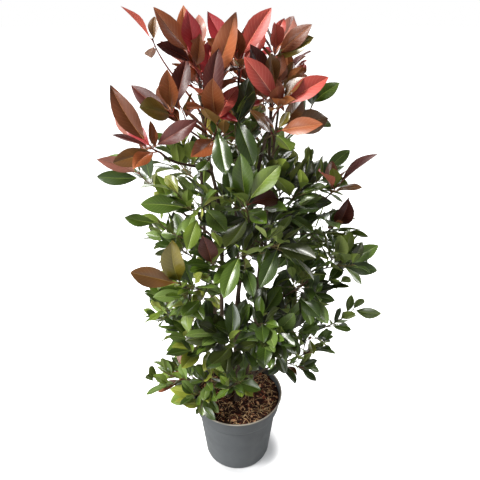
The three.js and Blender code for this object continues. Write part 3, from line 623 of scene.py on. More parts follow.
# ---------------------------------------------------------------- finer twigs and more leaves
REACH_MARGIN = 5  # a new leaf may pass its mass's box by this much
OPEN_SHOOTS = ("crown_far_left", "right_bronze", "left_side_low", "right_long_red", "right_low",
               "right_high", "left_side_high")  # with sky between their few leaves
# How a mass is carried on: its fewest new side twigs, the length of main twig for each one more, the length
# of new leaves as a share of its own leaves, and the number of them along its main twig.
CROWN_GROWTH, GREEN_GROWTH = (1, 150, 0.66, 4), (2, 55, 0.84, 8)
# New twigs on the main twig, twigs on its side twigs, and shoots on the stems: the radius at the foot and at
# the tip, then the length as a draw.
NEW_TWIG, TWIG_ON_TWIG, SHOOT = (1.2, 0.8), (1.1, 0.8), (1.3, 0.8)
NEW_LENGTH, ON_TWIG_LENGTH, SHOOT_LENGTH = (34, 26), (22, 14), (40, 34)
NEW_FROM, NEW_RANGE, NEW_DRIFT, ON_TWIG_AT = 0.34, 0.58, 0.8, (0.4, 0.2)
SHOOT_STEP, SHOOTS_FROM, SHOOTS_TO, SHOOT_DRIFT = 38, 0.3, 0.95, 0.7  # along a stem or bough
SHOOT_MARGIN, SHOOT_ROOM, SHOOT_RISE = 12, 0.6, 0.2
# Their leaves: how many, the share of the twig where these start, and the length as a share of the mass's.
NEW_LEAVES, NEW_START, MAIN_SIZE = 5, 0.3, 1.1
OLD_START, OLD_SIZE = 0.25, 0.82
SHOOT_LEAVES, SHOOT_START, SHOOT_SIZE = 6, 0.35, 0.86


def reach_of(mass):
    """The box of the mass's own solid, with its margin, as its lowest and highest corner in millimetres."""
    (low, high), (floor, ceiling) = np.array(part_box(mass.name)) / MM, np.array(CAD_BOUNDS) / MM
    return np.maximum(low - REACH_MARGIN, floor), np.minimum(high + REACH_MARGIN, ceiling)


def carry_on(mass):
    """More side twigs, twigs on those, and leaves on all of them, inside the reach of the mass's solid."""
    random, first = mass.finer, len(mass.twigs)
    few, spacing, size, on_main = CROWN_GROWTH if mass.red else GREEN_GROWTH
    wanted = few + int(mass.main.length() / spacing)
    for k in range(wanted):
        share = NEW_FROM + NEW_RANGE * (k + NEW_DRIFT * random()) / wanted
        length = draw_from(random, *NEW_LENGTH)
        side_twig(mass, mass.main, share, random() * 360, length, *NEW_TWIG, own_leaves=True)
    for twig in mass.twigs[1:first]:
        share, angle = draw_from(random, *ON_TWIG_AT), random() * 360
        length = draw_from(random, *ON_TWIG_LENGTH)
        side_twig(mass, twig, share, angle, length, *TWIG_ON_TWIG, own_leaves=True)
    for twig in mass.twigs[first:]:
        place_spiral(mass, twig, NEW_LEAVES, NEW_START, mass.leaf * size, random, finer=True)
    for twig in mass.twigs[1:first]:
        place_spiral(mass, twig, NEW_LEAVES, OLD_START, mass.leaf * OLD_SIZE, random, finer=True)
    place_spiral(mass, mass.main, on_main, NEW_START, mass.leaf * size * MAIN_SIZE, random, finer=True)


def stem_shoots(limb, random):
    """Short leafy shoots straight from a stem, each inside the reach of a mass."""
    count = int(limb.length() / SHOOT_STEP)
    turn = random() * 360
    for k in range(count):
        turn += TURN
        share = mix(SHOOTS_FROM, SHOOTS_TO, (k + SHOOT_DRIFT * random()) / count)
        length = draw_from(random, *SHOOT_LENGTH)
        start, axis = limb.point(share), limb.tangent(share)
        for nudge in range(0, 360, 72):
            curve = shoot_curve(start, axis, outwards(axis, turn + nudge), length, SHOOT_RISE)
            twig, tip = tapered("shoot", curve, *SHOOT, TWIG_SIDES, SIDE_RINGS), curve(1)
            homes = [m for m in masses
                     if not m.red and m.name not in OPEN_SHOOTS and m.holds(tip, SHOOT_MARGIN)]
            if homes and crowd.has_room(limb.name, twig.triangles(SHOOT_ROOM)):
                home = min(homes, key=lambda m: math.dist(tip, m.main.point(1)))
                crowd.add(twig.triangles(), home.name)
                home.twigs.append(twig)
                size = home.leaf * SHOOT_SIZE
                place_spiral(home, twig, SHOOT_LEAVES, SHOOT_START, size, random, finer=True)
                break


for mass in masses:
    mass.reach = reach_of(mass)
for mass in masses:
    if mass.name not in OPEN_SHOOTS:
        carry_on(mass)
for number, limb in enumerate(limbs.values()):
    stem_shoots(limb, seeded(7000 + 131 * number))

# ---------------------------------------------------------------- materials
BLACK, WHITE = (0, 0, 0, 1), (1, 1, 1, 1)
YOUNG_TINTS = ("coral", "crimson", "copper", "rust", "maroon", "rose")
VEIN_PAIRS, VEIN_SLANT = 11, 2.6
POT_GREY, RIM_HIGHLIGHT, SCUFFED = (84, 88, 91), (168, 158, 142), (176, 178, 178)
# Heights between which the rim's top turns pale: a painted highlight where the rim's edge catches the light.
RIM_HIGHLIGHT_HEIGHTS = ((POT_HEIGHT - 2.6) * MM, (POT_HEIGHT - 0.9) * MM)


def linear(colour):
    """An sRGB colour from 0 to 255 as Blender's linear one."""
    scaled = [c / 255 for c in colour]
    return tuple(c / 12.92 if c <= 0.04045 else ((c + 0.055) / 1.055) ** 2.4 for c in scaled) + (1.0,)


def grey(tone):
    return tone, tone, tone, 1


def shades(colour, *factors):
    """A linear colour made darker or lighter."""
    return [tuple(min(1.0, c * factor) for c in colour[:3]) + (1.0,) for factor in factors]


def wire(tree, node, inputs):
    """Sets inputs of a node to values, or links them to the outputs of other nodes."""
    for entry, value in inputs.items():
        if isinstance(value, bpy.types.NodeSocket):
            tree.links.new(value, node.inputs[entry])
        else:
            node.inputs[entry].default_value = value


def add_node(tree, kind, inputs, **settings):
    node = tree.nodes.new("ShaderNode" + kind)
    for setting, value in settings.items():
        setattr(node, setting, value)
    wire(tree, node, inputs)
    return node


class Shader:
    """A material put together from nodes: a roughness, patches of colour and fine relief."""

    def __init__(self, name, roughness, specular=0.5, coat=0.0, coat_roughness=0.1):
        self.material = bpy.data.materials.new(name)
        self.material.use_nodes = True
        self.tree = self.material.node_tree
        self.relief = {}
        self.place = self.node("TexCoord").outputs["Object"]
        self.set({"Roughness": roughness, "Specular IOR Level": specular, "Coat Weight": coat,
                  "Coat Roughness": coat_roughness})

    def set(self, inputs):
        wire(self.tree, self.tree.nodes["Principled BSDF"], inputs)

    def node(self, kind, inputs={}, **settings):
        return add_node(self.tree, kind, inputs, **settings)

    def math(self, kind, *values):
        return self.node("Math", dict(enumerate(values)), operation=kind).outputs[0]

    def noise(self, scale, detail=3.0, roughness=0.55, stretch=None):
        place = self.place
        if stretch:
            place = self.node("Mapping", {"Scale": stretch, "Vector": place}).outputs["Vector"]
        return self.node("TexNoise", {"Scale": scale, "Detail": detail, "Roughness": roughness,
                                      "Vector": place}).outputs["Fac"]

    def ramp(self, factor, places, colours):
        node = self.node("ValToRGB", {"Fac": factor})
        elements = node.color_ramp.elements
        for _ in places[2:]:
            elements.new(0.5)
        for element, place, colour in zip(elements, places, colours):
            element.position, element.color = place, colour
        return node.outputs["Color"]

    def map_range(self, value, start, end, low=0.0, kind="SMOOTHSTEP"):
        return self.node("MapRange", {"Value": value, "From Min": start, "From Max": end, "To Min": low},
                         interpolation_type=kind).outputs["Result"]

    def blend(self, factor, first, second):
        return self.node("Mix", {0: factor, 6: first, 7: second}, data_type="RGBA").outputs[2]

    def overlay(self, tone, mask, share, colour):
        """A colour laid over a tone where the mask is white, at a share of its strength."""
        return self.blend(self.math("MULTIPLY", mask, share), tone, linear(colour))

    def bump(self, height, strength, distance):
        """Relief on top of the relief already there."""
        inputs = {"Strength": strength, "Distance": distance, "Height": height, **self.relief}
        self.relief = {"Normal": self.node("Bump", inputs).outputs["Normal"]}
        self.set(self.relief)

    def veins(self, width):
        """Side veins of a leaf, from its own coordinates: 0 between them, 1 on them."""
        leaf = self.node("UVMap", uv_map="leaf").outputs["UV"]
        place = self.node("SeparateXYZ", {"Vector": leaf}).outputs
        phase = self.math("SUBTRACT", self.math("MULTIPLY", place["X"], VEIN_PAIRS),
                          self.math("MULTIPLY", self.math("ABSOLUTE", place["Y"]), VEIN_SLANT))
        ridge = self.math("ABSOLUTE", self.math("SUBTRACT", self.math("FRACT", phase), 0.5))
        return self.map_range(ridge, width, 0.0)

    def leaf_face(self, colour, rib, patches, vein_width, vein_share, vein_relief):
        """One face of a leaf: patches as noise scale, darkest and lightest shade, and its veins."""
        scale, dark, light = patches
        base, vein = linear(colour), self.veins(vein_width)
        tone = self.ramp(self.noise(scale, detail=2.0), (0.3, 0.5, 0.7), shades(base, dark, 1, light))
        self.set({"Base Color": self.overlay(tone, vein, vein_share, rib)})
        self.bump(vein, *vein_relief)


def leaf_materials(tint, upper, under, rib):
    """Upper face, underside and rib of a leaf of one tint."""
    if tint == "maroon":
        gloss = {"roughness": 0.42, "specular": 0.32, "coat": 0.06}
    elif tint in YOUNG_TINTS:
        gloss = {"roughness": 0.42, "specular": 0.45, "coat": 0.2}
    else:
        gloss = {"roughness": 0.34, "specular": 0.45, "coat": 0.7}
    top = Shader(f"leaf_{tint}_upper", **gloss, coat_roughness=0.24)
    vein_share = 0.34 if tint in YOUNG_TINTS else 0.24
    top.leaf_face(upper, rib, patches=(11, 0.72, 1.28), vein_width=0.09, vein_share=vein_share,
                  vein_relief=(0.35, 0.0004))
    top.bump(top.noise(420, detail=2.0), strength=0.12, distance=0.0003)
    low = Shader(f"leaf_{tint}_under", roughness=0.55, specular=0.4)
    low.leaf_face(under, rib, patches=(13, 0.8, 1.18), vein_width=0.1, vein_share=0.4,
                  vein_relief=(0.5, 0.0005))
    mid = Shader(f"leaf_{tint}_rib", roughness=0.42, specular=0.45)
    tone = mid.ramp(mid.noise(40, detail=2.0), (0.3, 0.7), shades(linear(rib), 0.8, 1.15))
    mid.set({"Base Color": tone})
    return [top.material, low.material, mid.material]


def stalk_material(name, *tones):
    shader = Shader(name, roughness=0.5, specular=0.4)
    shader.set({"Base Color": shader.ramp(shader.noise(30), (0.32, 0.68), map(linear, tones))})
    shader.bump(shader.noise(700, detail=2.0), strength=0.25, distance=0.0003)
    return shader.material


def bark_material(name, *tones):
    shader = Shader(name, roughness=0.72, specular=0.3)
    streaks = shader.noise(60, detail=5.0, roughness=0.6, stretch=(1, 1, 0.22))
    tone = shader.ramp(streaks, (0.3, 0.5, 0.74), map(linear, tones))
    specks = shader.noise(260, detail=2.0, roughness=0.5, stretch=(1, 1, 2.2))
    spots = shader.ramp(specks, (0.62, 0.72), (BLACK, WHITE))
    shader.set({"Base Color": shader.overlay(tone, spots, share=0.45, colour=tones[-1])})
    shader.bump(streaks, strength=0.6, distance=0.0012)
    shader.bump(shader.noise(500), strength=0.35, distance=0.0005)
    return shader.material


def soil_material(name, *tones):
    shader = Shader(name, roughness=0.95, specular=0.12)
    grain = shader.noise(150, detail=6.0, roughness=0.7)
    shader.set({"Base Color": shader.ramp(grain, (0.34, 0.52, 0.7), map(linear, tones))})
    shader.bump(grain, strength=0.8, distance=0.002)
    return shader.material


def pot_material():
    """Grey plastic with soft patches, a painted highlight along the top of the rim, and scuffs."""
    shader = Shader("pot_grey_plastic", roughness=0.46, specular=0.4)
    patches = shader.noise(7, detail=4.0)
    tone = shader.ramp(patches, (0.35, 0.65), shades(linear(POT_GREY), 0.9, 1.08))
    height = shader.node("SeparateXYZ", {"Vector": shader.place}).outputs["Z"]
    # painted highlight: the colour turns paler towards the top of the rim
    rim_highlight = shader.map_range(height, *RIM_HIGHLIGHT_HEIGHTS, kind="LINEAR")
    tone = shader.overlay(tone, rim_highlight, share=0.62, colour=RIM_HIGHLIGHT)
    scratches = shader.noise(90, detail=4.0, roughness=0.6, stretch=(1, 1, 5))
    scuffs = shader.ramp(scratches, (0.66, 0.8), (BLACK, WHITE))
    rough = shader.ramp(shader.noise(40), (0.3, 0.7), (grey(0.4), grey(0.54)))
    tone = shader.overlay(tone, scuffs, share=0.14, colour=SCUFFED)
    shader.set({"Base Color": tone, "Roughness": rough})
    shader.bump(shader.noise(1400, detail=2.0), strength=0.1, distance=0.0002)
    return shader.material


# ---------------------------------------------------------------- meshes
def placed(name, data):
    """A new object in the scene."""
    obj = bpy.data.objects.new(name, data)
    bpy.context.collection.objects.link(obj)
    return obj


def smooth(mesh, sharp=None):
    """Smooth shading, but for edges sharper than an angle."""
    mesh.polygons.foreach_set("use_smooth", [True] * len(mesh.polygons))
    if sharp is not None:
        mesh.set_sharp_from_angle(angle=math.radians(sharp))
    mesh.update()


class Joined:
    """Collects vertices and faces, in millimetres, and becomes one mesh."""

    def __init__(self):
        self.vertices, self.faces, self.marks, self.uv, self.count = [], [], [], [], 0

    def add(self, vertices, faces, marks=None, uv=None):
        """Vertices as an (n, 3) array, faces as lists of places in it, and each face's material number."""
        self.vertices.append(np.asarray(vertices, float))
        self.faces += [[i + self.count for i in face] for face in faces]
        self.marks += marks or [0] * len(faces)
        if uv is not None:
            self.uv.append(uv)
        self.count += len(vertices)

    def object(self, name, materials):
        mesh = bpy.data.meshes.new(name)
        mesh.from_pydata((np.concatenate(self.vertices) * MM).tolist(), [], self.faces)
        for material in materials:
            mesh.materials.append(material)
        mesh.polygons.foreach_set("material_index", self.marks)
        if self.uv:
            corners = np.empty(len(mesh.loops), np.int32)
            mesh.loops.foreach_get("vertex_index", corners)
            layer = mesh.uv_layers.new(name="leaf")
            layer.data.foreach_set("uv", np.concatenate(self.uv)[corners].ravel())
        return placed(name, mesh)

    def piece(self, name, materials, slot, nodes=(), sharp=None):
        obj = self.object(name, materials)
        smooth(obj.data, sharp)
        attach(obj, "root")
        if nodes:
            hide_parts(*nodes)
        return obj


def ring_faces(rings, sides, closed=True):
    """Quads between rings of vertices, and the two end faces."""
    faces = [[low + k, low + (k + 1) % sides, low + sides + (k + 1) % sides, low + sides + k]
             for low in range(0, (rings - 1) * sides, sides) for k in range(sides)]
    if closed:
        faces.append(list(range(sides))[::-1])
        faces.append([(rings - 1) * sides + k for k in range(sides)])
    return faces


def tube(limb, stations, sides, relief=None):
    """Vertices of a round limb. A station is a share of the limb, a push along it from there, and a radius;
    relief is an array (stations, sides) of extra radius."""
    turns = turns_of(sides)
    rows = []
    for i, (share, push, radius) in enumerate(stations):
        side, other = limb.section(share)
        heart = limb.point(share) + (limb.tangent(share) * push if push else 0)
        r = radius + (0 if relief is None else relief[i])
        rows.append(heart + np.outer(np.cos(turns) * r, side) + np.outer(np.sin(turns) * r, other))
    return np.concatenate(rows)


# ---------------------------------------------------------------- stems and boughs with bark
BARK_SIDES, BARK_STEP = 18, 3.4  # the step is between rings
BARK_SHARP = 70
SCAR_STEP = 31  # between leaf scars along a stem
SCAR_HEIGHT, SCAR_REACH, SCAR_SPREAD = 0.62, 2.6, 0.5  # millimetres, millimetres, radians
ROUND = 0.93  # a round limb's radius, of that of its faceted solid
STEM_SINK = 4  # of a stem's foot in the soil
BARK_LOOKS = {
    "stem": ((44, 34, 28), (78, 62, 50), (122, 104, 86)),
    "bough": ((46, 30, 26), (74, 52, 42), (108, 84, 68))}
FOOT_SWELL = 1.06  # where a limb leaves its parent
BARK_TIP = ((0.7, 0.86), (1.1, 0.5))  # push, share of the tip's radius
# Relief of the bark: how fast it changes round the limb and along it, and its depth as a share of the radius.
SWELLINGS, RIDGES = (1.7, 0.045, 0.07), (4.5, 0.09, 0.06)
SCARRED_RADIUS = 4  # scars are lower on a thinner limb
SEED_STEP = 3.7  # between the relief of one limb and the next


def rough(turn, place, seed, rate, pace, depth):
    """Relief of the bark at a turn round the limb and a place along it, as a share of its radius."""
    return depth * noise.noise(Vector((math.cos(turn) * rate, math.sin(turn) * rate, place * pace + seed)))


def bark_relief(stations, places, seed):
    """Fine ridges along the bark, slow swellings, and leaf scars in a spiral."""
    turns = turns_of(BARK_SIDES)
    relief = np.zeros((len(stations), BARK_SIDES))
    for i, ((_, _, radius), place) in enumerate(zip(stations, places)):
        relief[i] = [radius * (rough(turn, place, seed, *SWELLINGS) + rough(turn, place, -seed, *RIDGES))
                     for turn in turns]
        for near in (math.floor(place / SCAR_STEP), math.ceil(place / SCAR_STEP)):
            away = (turns - math.radians(TURN) * near + math.pi) % (2 * math.pi) - math.pi
            along = (place - near * SCAR_STEP) / SCAR_REACH
            height = SCAR_HEIGHT * min(1, radius / SCARRED_RADIUS)
            relief[i] += height * np.exp(-(away / SCAR_SPREAD) ** 2 - along ** 2)
    return relief


def bark_piece(limb, number, sink, look):
    """A limb with its bark, from its foot, sunk a little, to its rounded tip."""
    length = limb.length()
    count = int(length / BARK_STEP)
    stations = [(0, -sink, limb.radius(0) * ROUND * FOOT_SWELL)]
    stations += [(i / count, 0, limb.radius(i / count) * ROUND) for i in range(count + 1)]
    stations += [(1, push, limb.radius(1) * ROUND * share) for push, share in BARK_TIP]
    places = [share * length + push for share, push, _ in stations]
    joined = Joined()
    relief = bark_relief(stations, places, SEED_STEP * number)
    joined.add(tube(limb, stations, BARK_SIDES, relief), ring_faces(len(stations), BARK_SIDES))
    joined.piece(f"{limb.name}_bark", [look], "bark", [limb.name], sharp=BARK_SHARP)


stem_bark, bough_bark = (bark_material(f"bark_{kind}s", *tones) for kind, tones in BARK_LOOKS.items())
for number, limb in enumerate(limbs.values()):
    bark_piece(limb, number, *((STEM_SINK, stem_bark) if limb.name in STEMS else (0, bough_bark)))

# ---------------------------------------------------------------- twigs, with buds at their tips
TWIG_STEP, FEWEST_STEPS = 5.5, 4
TWIG_ROUND = 0.9  # a round twig's radius, of that of its three-sided solid
TWIG_SINK = 1.6  # of a twig that grows on from the tip of its limb
MAIN_TWIG_SIDES, FINE_TWIG_SIDES = 8, 6
BLENDED = 6  # a twig takes over the round of its limb in its first sixth
COLLAR, COLLAR_LENGTH = 0.5, 5  # how much a twig swells at its foot, and how far
JOINT, JOINT_RATE, JOINT_SHARPNESS = 0.09, 0.52, 8
BUD = ((0.6, 1.0), (1.6, 1.45), (3.4, 1.3), (5.2, 0.7), (6.4, 0.12))  # push, share of the tip's radius
TWIG_LOOKS = {"young": ((58, 26, 24), (112, 54, 40)), "old": ((66, 50, 34), (112, 96, 60))}


def twig_stations(twig, grows_on):
    """A twig starts as round as the limb it grows on from, or with a collar, and swells at its joints."""
    length = twig.length()
    count = max(FEWEST_STEPS, int(length / TWIG_STEP))
    stations = []
    for i in range(count + 1):
        share = i / count
        if grows_on:
            swell = mix(TWIG_ROUND, ROUND, max(0, 1 - share * BLENDED))
        else:
            swell = TWIG_ROUND * (1 + COLLAR * math.exp(-share * length / COLLAR_LENGTH))
        joint = 1 + JOINT * math.sin(share * length * JOINT_RATE) ** JOINT_SHARPNESS
        stations.append((share, -TWIG_SINK if grows_on and i == 0 else 0, twig.radius(share) * swell * joint))
    end = twig.radius(1) * TWIG_ROUND
    return stations + [(1, push, end * share) for push, share in BUD]


twig_sets = {age: Joined() for age in TWIG_LOOKS}
for mass in masses:
    for twig in mass.twigs:
        main = twig is mass.main
        sides = MAIN_TWIG_SIDES if main else FINE_TWIG_SIDES
        stations = twig_stations(twig, main and mass.at == 1)
        joined = twig_sets["young" if mass.red else "old"]
        joined.add(tube(twig, stations, sides), ring_faces(len(stations), sides))
for age, joined in twig_sets.items():
    look = stalk_material(f"twig_{age}_bark", *TWIG_LOOKS[age])
    joined.piece(f"twigs_{age}", [look], "bark", sharp=BARK_SHARP)

# ---------------------------------------------------------------- leaves
LIFE_SIZE = 0.97  # of the part's own leaves, which are a little larger than life
FULL_LEAF = 90  # length of a leaf whose rib and stalk are as thick as given here
BLADE_START, STALK_END = 0.13, 0.17  # shares of a leaf's length
BLADE_RINGS, BLADE_SHARP = 11, 62
LEAF_SHEET, LEAF_EDGE = 0.42, 0.25  # thickness of the blade, least half width
RIB_HALF, RIB_DEPTH, RIB_HEIGHT = 0.62, 0.3, 0.55
RIB_FOOT, RIB_TAPER, WIDEST_RIB = 1.1, 0.85, 0.4  # of its half width, and of the blade's
BETWEEN = 0.55  # place of the columns between rib and rim, of the half width
WAVE_RATE, WAVE_SHIFT, CURL_DEPTH = 9, 1.5, 0.22
THIN_HALF, TWIST_CENTRE = 4, 0.35  # a narrower blade is thinner; the twist turns about this share
ROW_START, ROW_END = 0.02, 0.985  # of the half turn that spaces the rings closer at both ends
STALK_SIDES, STALK_DROP = 5, 0.3
STALK_PLACES, STALK_RADII = (0.0, 0.05, 0.1, STALK_END), (1.05, 0.8, 0.68, 0.4)
UPPER, UNDER, RIB = 0, 1, 2
# Columns of a blade: seven on its upper face from rim to rim, then five on its underside between the rims.
UPPER_COLUMNS, UNDER_COLUMNS, INNER = (0, 1, 2, 3, 4, 5, 6), (0, 7, 8, 9, 10, 11, 6), slice(1, 6)
BLADE_COLUMNS, MIDDLE = 12, (2, 3)
# A leaf's own form: the least of each measure, and what a draw adds at most.
GREEN_FORM = {
    "fold": (0.2, 0.32), "curl": (0.3, 0.8), "bow": (-0.03825, 0.1275), "sway": (-0.0425, 0.085),
    "twist": (-0.35, 0.7), "wave": (0, 0.09), "phase": (0, 6.28), "point": (1.08, 0.25), "blunt": (0.7, 0.2),
    "slim": (0.8624, 0.196)}
YOUNG_FORM = GREEN_FORM | {
    "fold": (0.3, 0.32), "sway": (-0.08075, 0.1615), "point": (0.98, 0.25), "blunt": (0.84, 0.2),
    "slim": (0.784, 0.196)}
SHOWN_BOW = 0.065 / 0.085  # the leaves of the outline bow less
NEXT_TINT = 0.7  # chance that a leaf has the next tint of its spray, not the one after that
RED_LEAVES, BRONZE_LEAVES = ("coral", "crimson", "copper", "maroon", "rose"), ("rust", "bronze", "olive")
STALK_LOOKS = {"red": ((126, 42, 36), (178, 82, 58)), "green": ((92, 92, 46), (136, 132, 72))}


def dressed(mass):
    """A mass's leaves, with tints that go round the mass's spray and with their own form."""
    draw = seeded(9000 + 57 * mass.number)
    spray = int(draw() * len(mass.tints))
    for k, leaf in enumerate(mass.leaves):
        if not leaf.shown:
            spray += 1 if draw() < NEXT_TINT else 2
            leaf.tint = mass.tints[spray % len(mass.tints)]
            if k < mass.coarse:
                leaf.length *= LIFE_SIZE
                leaf.width *= LIFE_SIZE
        form = YOUNG_FORM if leaf.tint in YOUNG_TINTS else GREEN_FORM
        for measure, extent in form.items():
            setattr(leaf, measure, draw_from(draw, *extent))
        if leaf.shown:
            leaf.bow *= SHOWN_BOW
    return mass.leaves


def gathered(leaves, names):
    """An array for each named measure of the leaves, with room for places along a leaf and across it."""
    return [np.array([getattr(leaf, name) for leaf in leaves])[:, None, None] for name in names.split()]


def centre_lines(leaves, s):
    """Points of the midribs at the shares s, an array (1, places, 1), as an array (leaves, places, 1, 3)."""
    root, ahead, side, face, length, bend, bow, sway = gathered(
        leaves, "root ahead side face length bend bow sway")
    arch = 4 * s * (1 - s)
    lift, aside = (bow * arch - bend * s ** 2) * length, sway * arch * length
    return root + ahead * (s * length)[..., None] + face * lift[..., None] + side * aside[..., None]


def blade_vertices(leaves):
    """All blades of a list of leaves, as an array (leaves, rings, columns, 3), and their own coordinates."""
    side, face, length, width, fold, curl, twist, wave, phase, point, blunt, slim = gathered(
        leaves, "side face length width fold curl twist wave phase point blunt slim")
    t = ((1 - np.cos(np.linspace(ROW_START, ROW_END, BLADE_RINGS + 1) * math.pi)) / 2)[None, :, None]
    half = width / 2 * slim * np.sin(math.pi * t ** point) ** blunt + LEAF_EDGE
    rib = np.minimum(RIB_HALF * (RIB_FOOT - RIB_TAPER * t) * length / FULL_LEAF, half * WIDEST_RIB)
    across_blade = (-1, -BETWEEN, -rib / half, 0, rib / half, BETWEEN, 1)
    columns = np.concatenate([np.zeros_like(half) + c for c in across_blade], 2)
    y = columns * half
    ripple = wave * width * np.sin(WAVE_RATE * t + phase + WAVE_SHIFT * np.sign(columns))
    z = fold * np.abs(y) + (ripple - curl * half * CURL_DEPTH) * columns ** 2
    rib_share = np.minimum(1, rib / RIB_HALF)[..., 0]
    z[..., 3] -= RIB_DEPTH * rib_share
    below = z[..., INNER] - LEAF_SHEET * np.minimum(1, half / THIN_HALF)
    below[..., 2] -= RIB_HEIGHT * rib_share
    y, z = np.concatenate([y, y[..., INNER]], 2), np.concatenate([z, below], 2)
    turn = twist * (t - TWIST_CENTRE)
    y, z = y * np.cos(turn) - z * np.sin(turn), y * np.sin(turn) + z * np.cos(turn)
    hearts = centre_lines(leaves, BLADE_START + (1 - BLADE_START) * t)
    vertices = hearts + side * y[..., None] + face * z[..., None]
    v = np.concatenate([columns, columns[..., INNER]], 2)
    return vertices, np.stack([np.broadcast_to(t, v.shape), v], 3)


def blade_faces():
    """Faces and material numbers of one blade: its upper face, its underside, and its two ends."""
    faces, marks = [], []
    for r in range(BLADE_RINGS):
        a, b = r * BLADE_COLUMNS, (r + 1) * BLADE_COLUMNS
        for k in range(6):
            low, nxt = UNDER_COLUMNS[k:k + 2]
            faces += [[a + k, a + k + 1, b + k + 1, b + k], [a + low, b + low, b + nxt, a + nxt]]
            marks += [RIB, RIB] if k in MIDDLE else [UPPER, UNDER]
    loop = [*UNDER_COLUMNS, *UPPER_COLUMNS[-2:0:-1]]
    last = BLADE_RINGS * BLADE_COLUMNS
    return faces + [loop, [last + k for k in loop[::-1]]], marks + [RIB, RIB]


def stalk_vertices(leaves):
    """Stalks from inside the twig to inside the blade, as an array (leaves, rings, sides, 3)."""
    side, face, length = gathered(leaves, "side face length")
    radius = length / FULL_LEAF * np.array(STALK_RADII)[None, :, None]
    y, z = radius * np.cos(turns_of(STALK_SIDES)), -radius * np.sin(turns_of(STALK_SIDES)) - STALK_DROP
    hearts = centre_lines(leaves, np.array(STALK_PLACES)[None, :, None])
    return hearts + side * y[..., None] + face * z[..., None]


everything = [leaf for mass in masses for leaf in dressed(mass)]
node_of = {leaf: mass.name for mass in masses for leaf in mass.leaves}
faces, marks = blade_faces()
for tint, colours in TINTS.items():
    leaves = [leaf for leaf in everything if leaf.tint == tint]
    joined = Joined()
    for blade, coordinates in zip(*blade_vertices(leaves)):
        joined.add(blade.reshape(-1, 3), faces, marks, coordinates.reshape(-1, 2))
    slot = "red" if tint in RED_LEAVES else "bronze" if tint in BRONZE_LEAVES else "green"
    nodes = sorted({node_of[leaf] for leaf in leaves})
    joined.piece(f"leaves_{tint}", leaf_materials(tint, *colours), f"foliage_{slot}", nodes, BLADE_SHARP)

for look, tones in STALK_LOOKS.items():
    joined = Joined()
    leaves = [leaf for leaf in everything if (leaf.tint in RED_LEAVES + BRONZE_LEAVES) == (look == "red")]
    for stalk in stalk_vertices(leaves):
        joined.add(stalk.reshape(-1, 3), ring_faces(len(STALK_PLACES), STALK_SIDES))
    joined.piece(f"leaf_stalks_{look}", [stalk_material(f"leaf_stalk_{look}", *tones)], f"foliage_{look}")

# ---------------------------------------------------------------- pot
POT_TURNS, POT_SHARP = 160, 34
SHOULDER = 6  # half the height of the slope from the body out to the collar
FOOT_HEIGHT, FOOT_ROUND = 6, 5
SLOT_SIDES, SLOT_SINK = 16, 0.3  # sunk so that no corner of a slot lies in the plane of the base
# Near-black tones of the drain slots' walls: painted shade in the slots.
SLOT_SHADE_TONES = ((9, 8, 8), (16, 14, 13), (28, 24, 22))


def lathe(profile, sides):
    """Vertices and faces turned about Z. The profile's two ends lie on the axis."""
    inner, turns = profile[1:-1], turns_of(sides)
    rows = [np.stack([np.cos(turns) * r, np.sin(turns) * r, np.full(sides, z)], 1) for r, z in inner]
    faces = ring_faces(len(inner), sides, closed=False)
    low, last = len(inner) * sides, (len(inner) - 1) * sides
    faces += [[low, (k + 1) % sides, k] for k in range(sides)]
    faces += [[low + 1, last + k, last + (k + 1) % sides] for k in range(sides)]
    return np.concatenate([*rows, [(0, 0, z) for _, z in (profile[0], profile[-1])]]), faces


def arc(x, z, radius, start, end, count):
    """Points of a round corner in the profile, angles in degrees."""
    angles = [math.radians(mix(start, end, i / count)) for i in range(count + 1)]
    return [(x + radius * math.cos(a), z + radius * math.sin(a)) for a in angles]


def straight(start, end, count):
    """Points of a straight wall in the profile, without its start."""
    return [(mix(start[0], end[0], i / count), mix(start[1], end[1], i / count)) for i in range(1, count + 1)]


def shoulder_curve(foot, top, count=12):
    """The slope from the body to the collar, which runs on smoothly into both walls."""
    below = (BODY_RADIUS - BASE_RADIUS) / (foot - FOOT_HEIGHT) * (top - foot)
    above = (COLLAR_TOP_RADIUS - COLLAR_RADIUS) / (POT_HEIGHT - RIM_HEIGHT - 1 - top) * (top - foot)
    for t in (i / count for i in range(count + 1)):
        yield (mix(BODY_RADIUS, COLLAR_RADIUS, t * t * (3 - 2 * t)) + below * t * (1 - t) ** 2
               - above * t * t * (1 - t), mix(foot, top, t))


def pot_profile():
    """The wall's outer face from the middle of the base, over the rolled rim, and down inside."""
    foot, top = COLLAR_BOTTOM - SHOULDER, COLLAR_BOTTOM + SHOULDER
    shoulder = list(shoulder_curve(foot, top))
    return [
        (0, 0), (40, 0), (70, 0), *arc(BASE_RADIUS - FOOT_ROUND, FOOT_ROUND, FOOT_ROUND, -90, 0, 6),
        *straight((BASE_RADIUS, FOOT_HEIGHT), (BODY_RADIUS, foot), 8), *shoulder[1:],
        *straight((COLLAR_RADIUS, top), (COLLAR_TOP_RADIUS, POT_HEIGHT - RIM_HEIGHT - 1), 4),
        (COLLAR_TOP_RADIUS + 1.6, POT_HEIGHT - RIM_HEIGHT - 0.6),
        *arc(RIM_RADIUS - 1.6, POT_HEIGHT - 1.9, 1.75, -30, 150, 9),
        (COLLAR_TOP_RADIUS - WALL, POT_HEIGHT - 3), (COLLAR_TOP_RADIUS - WALL - 0.4, POT_HEIGHT - 6),
        *((radius - WALL, z) for radius, z in shoulder[::-1]),
        (BASE_RADIUS - WALL, 6), (BASE_RADIUS - 7, 3), (0, 3)]


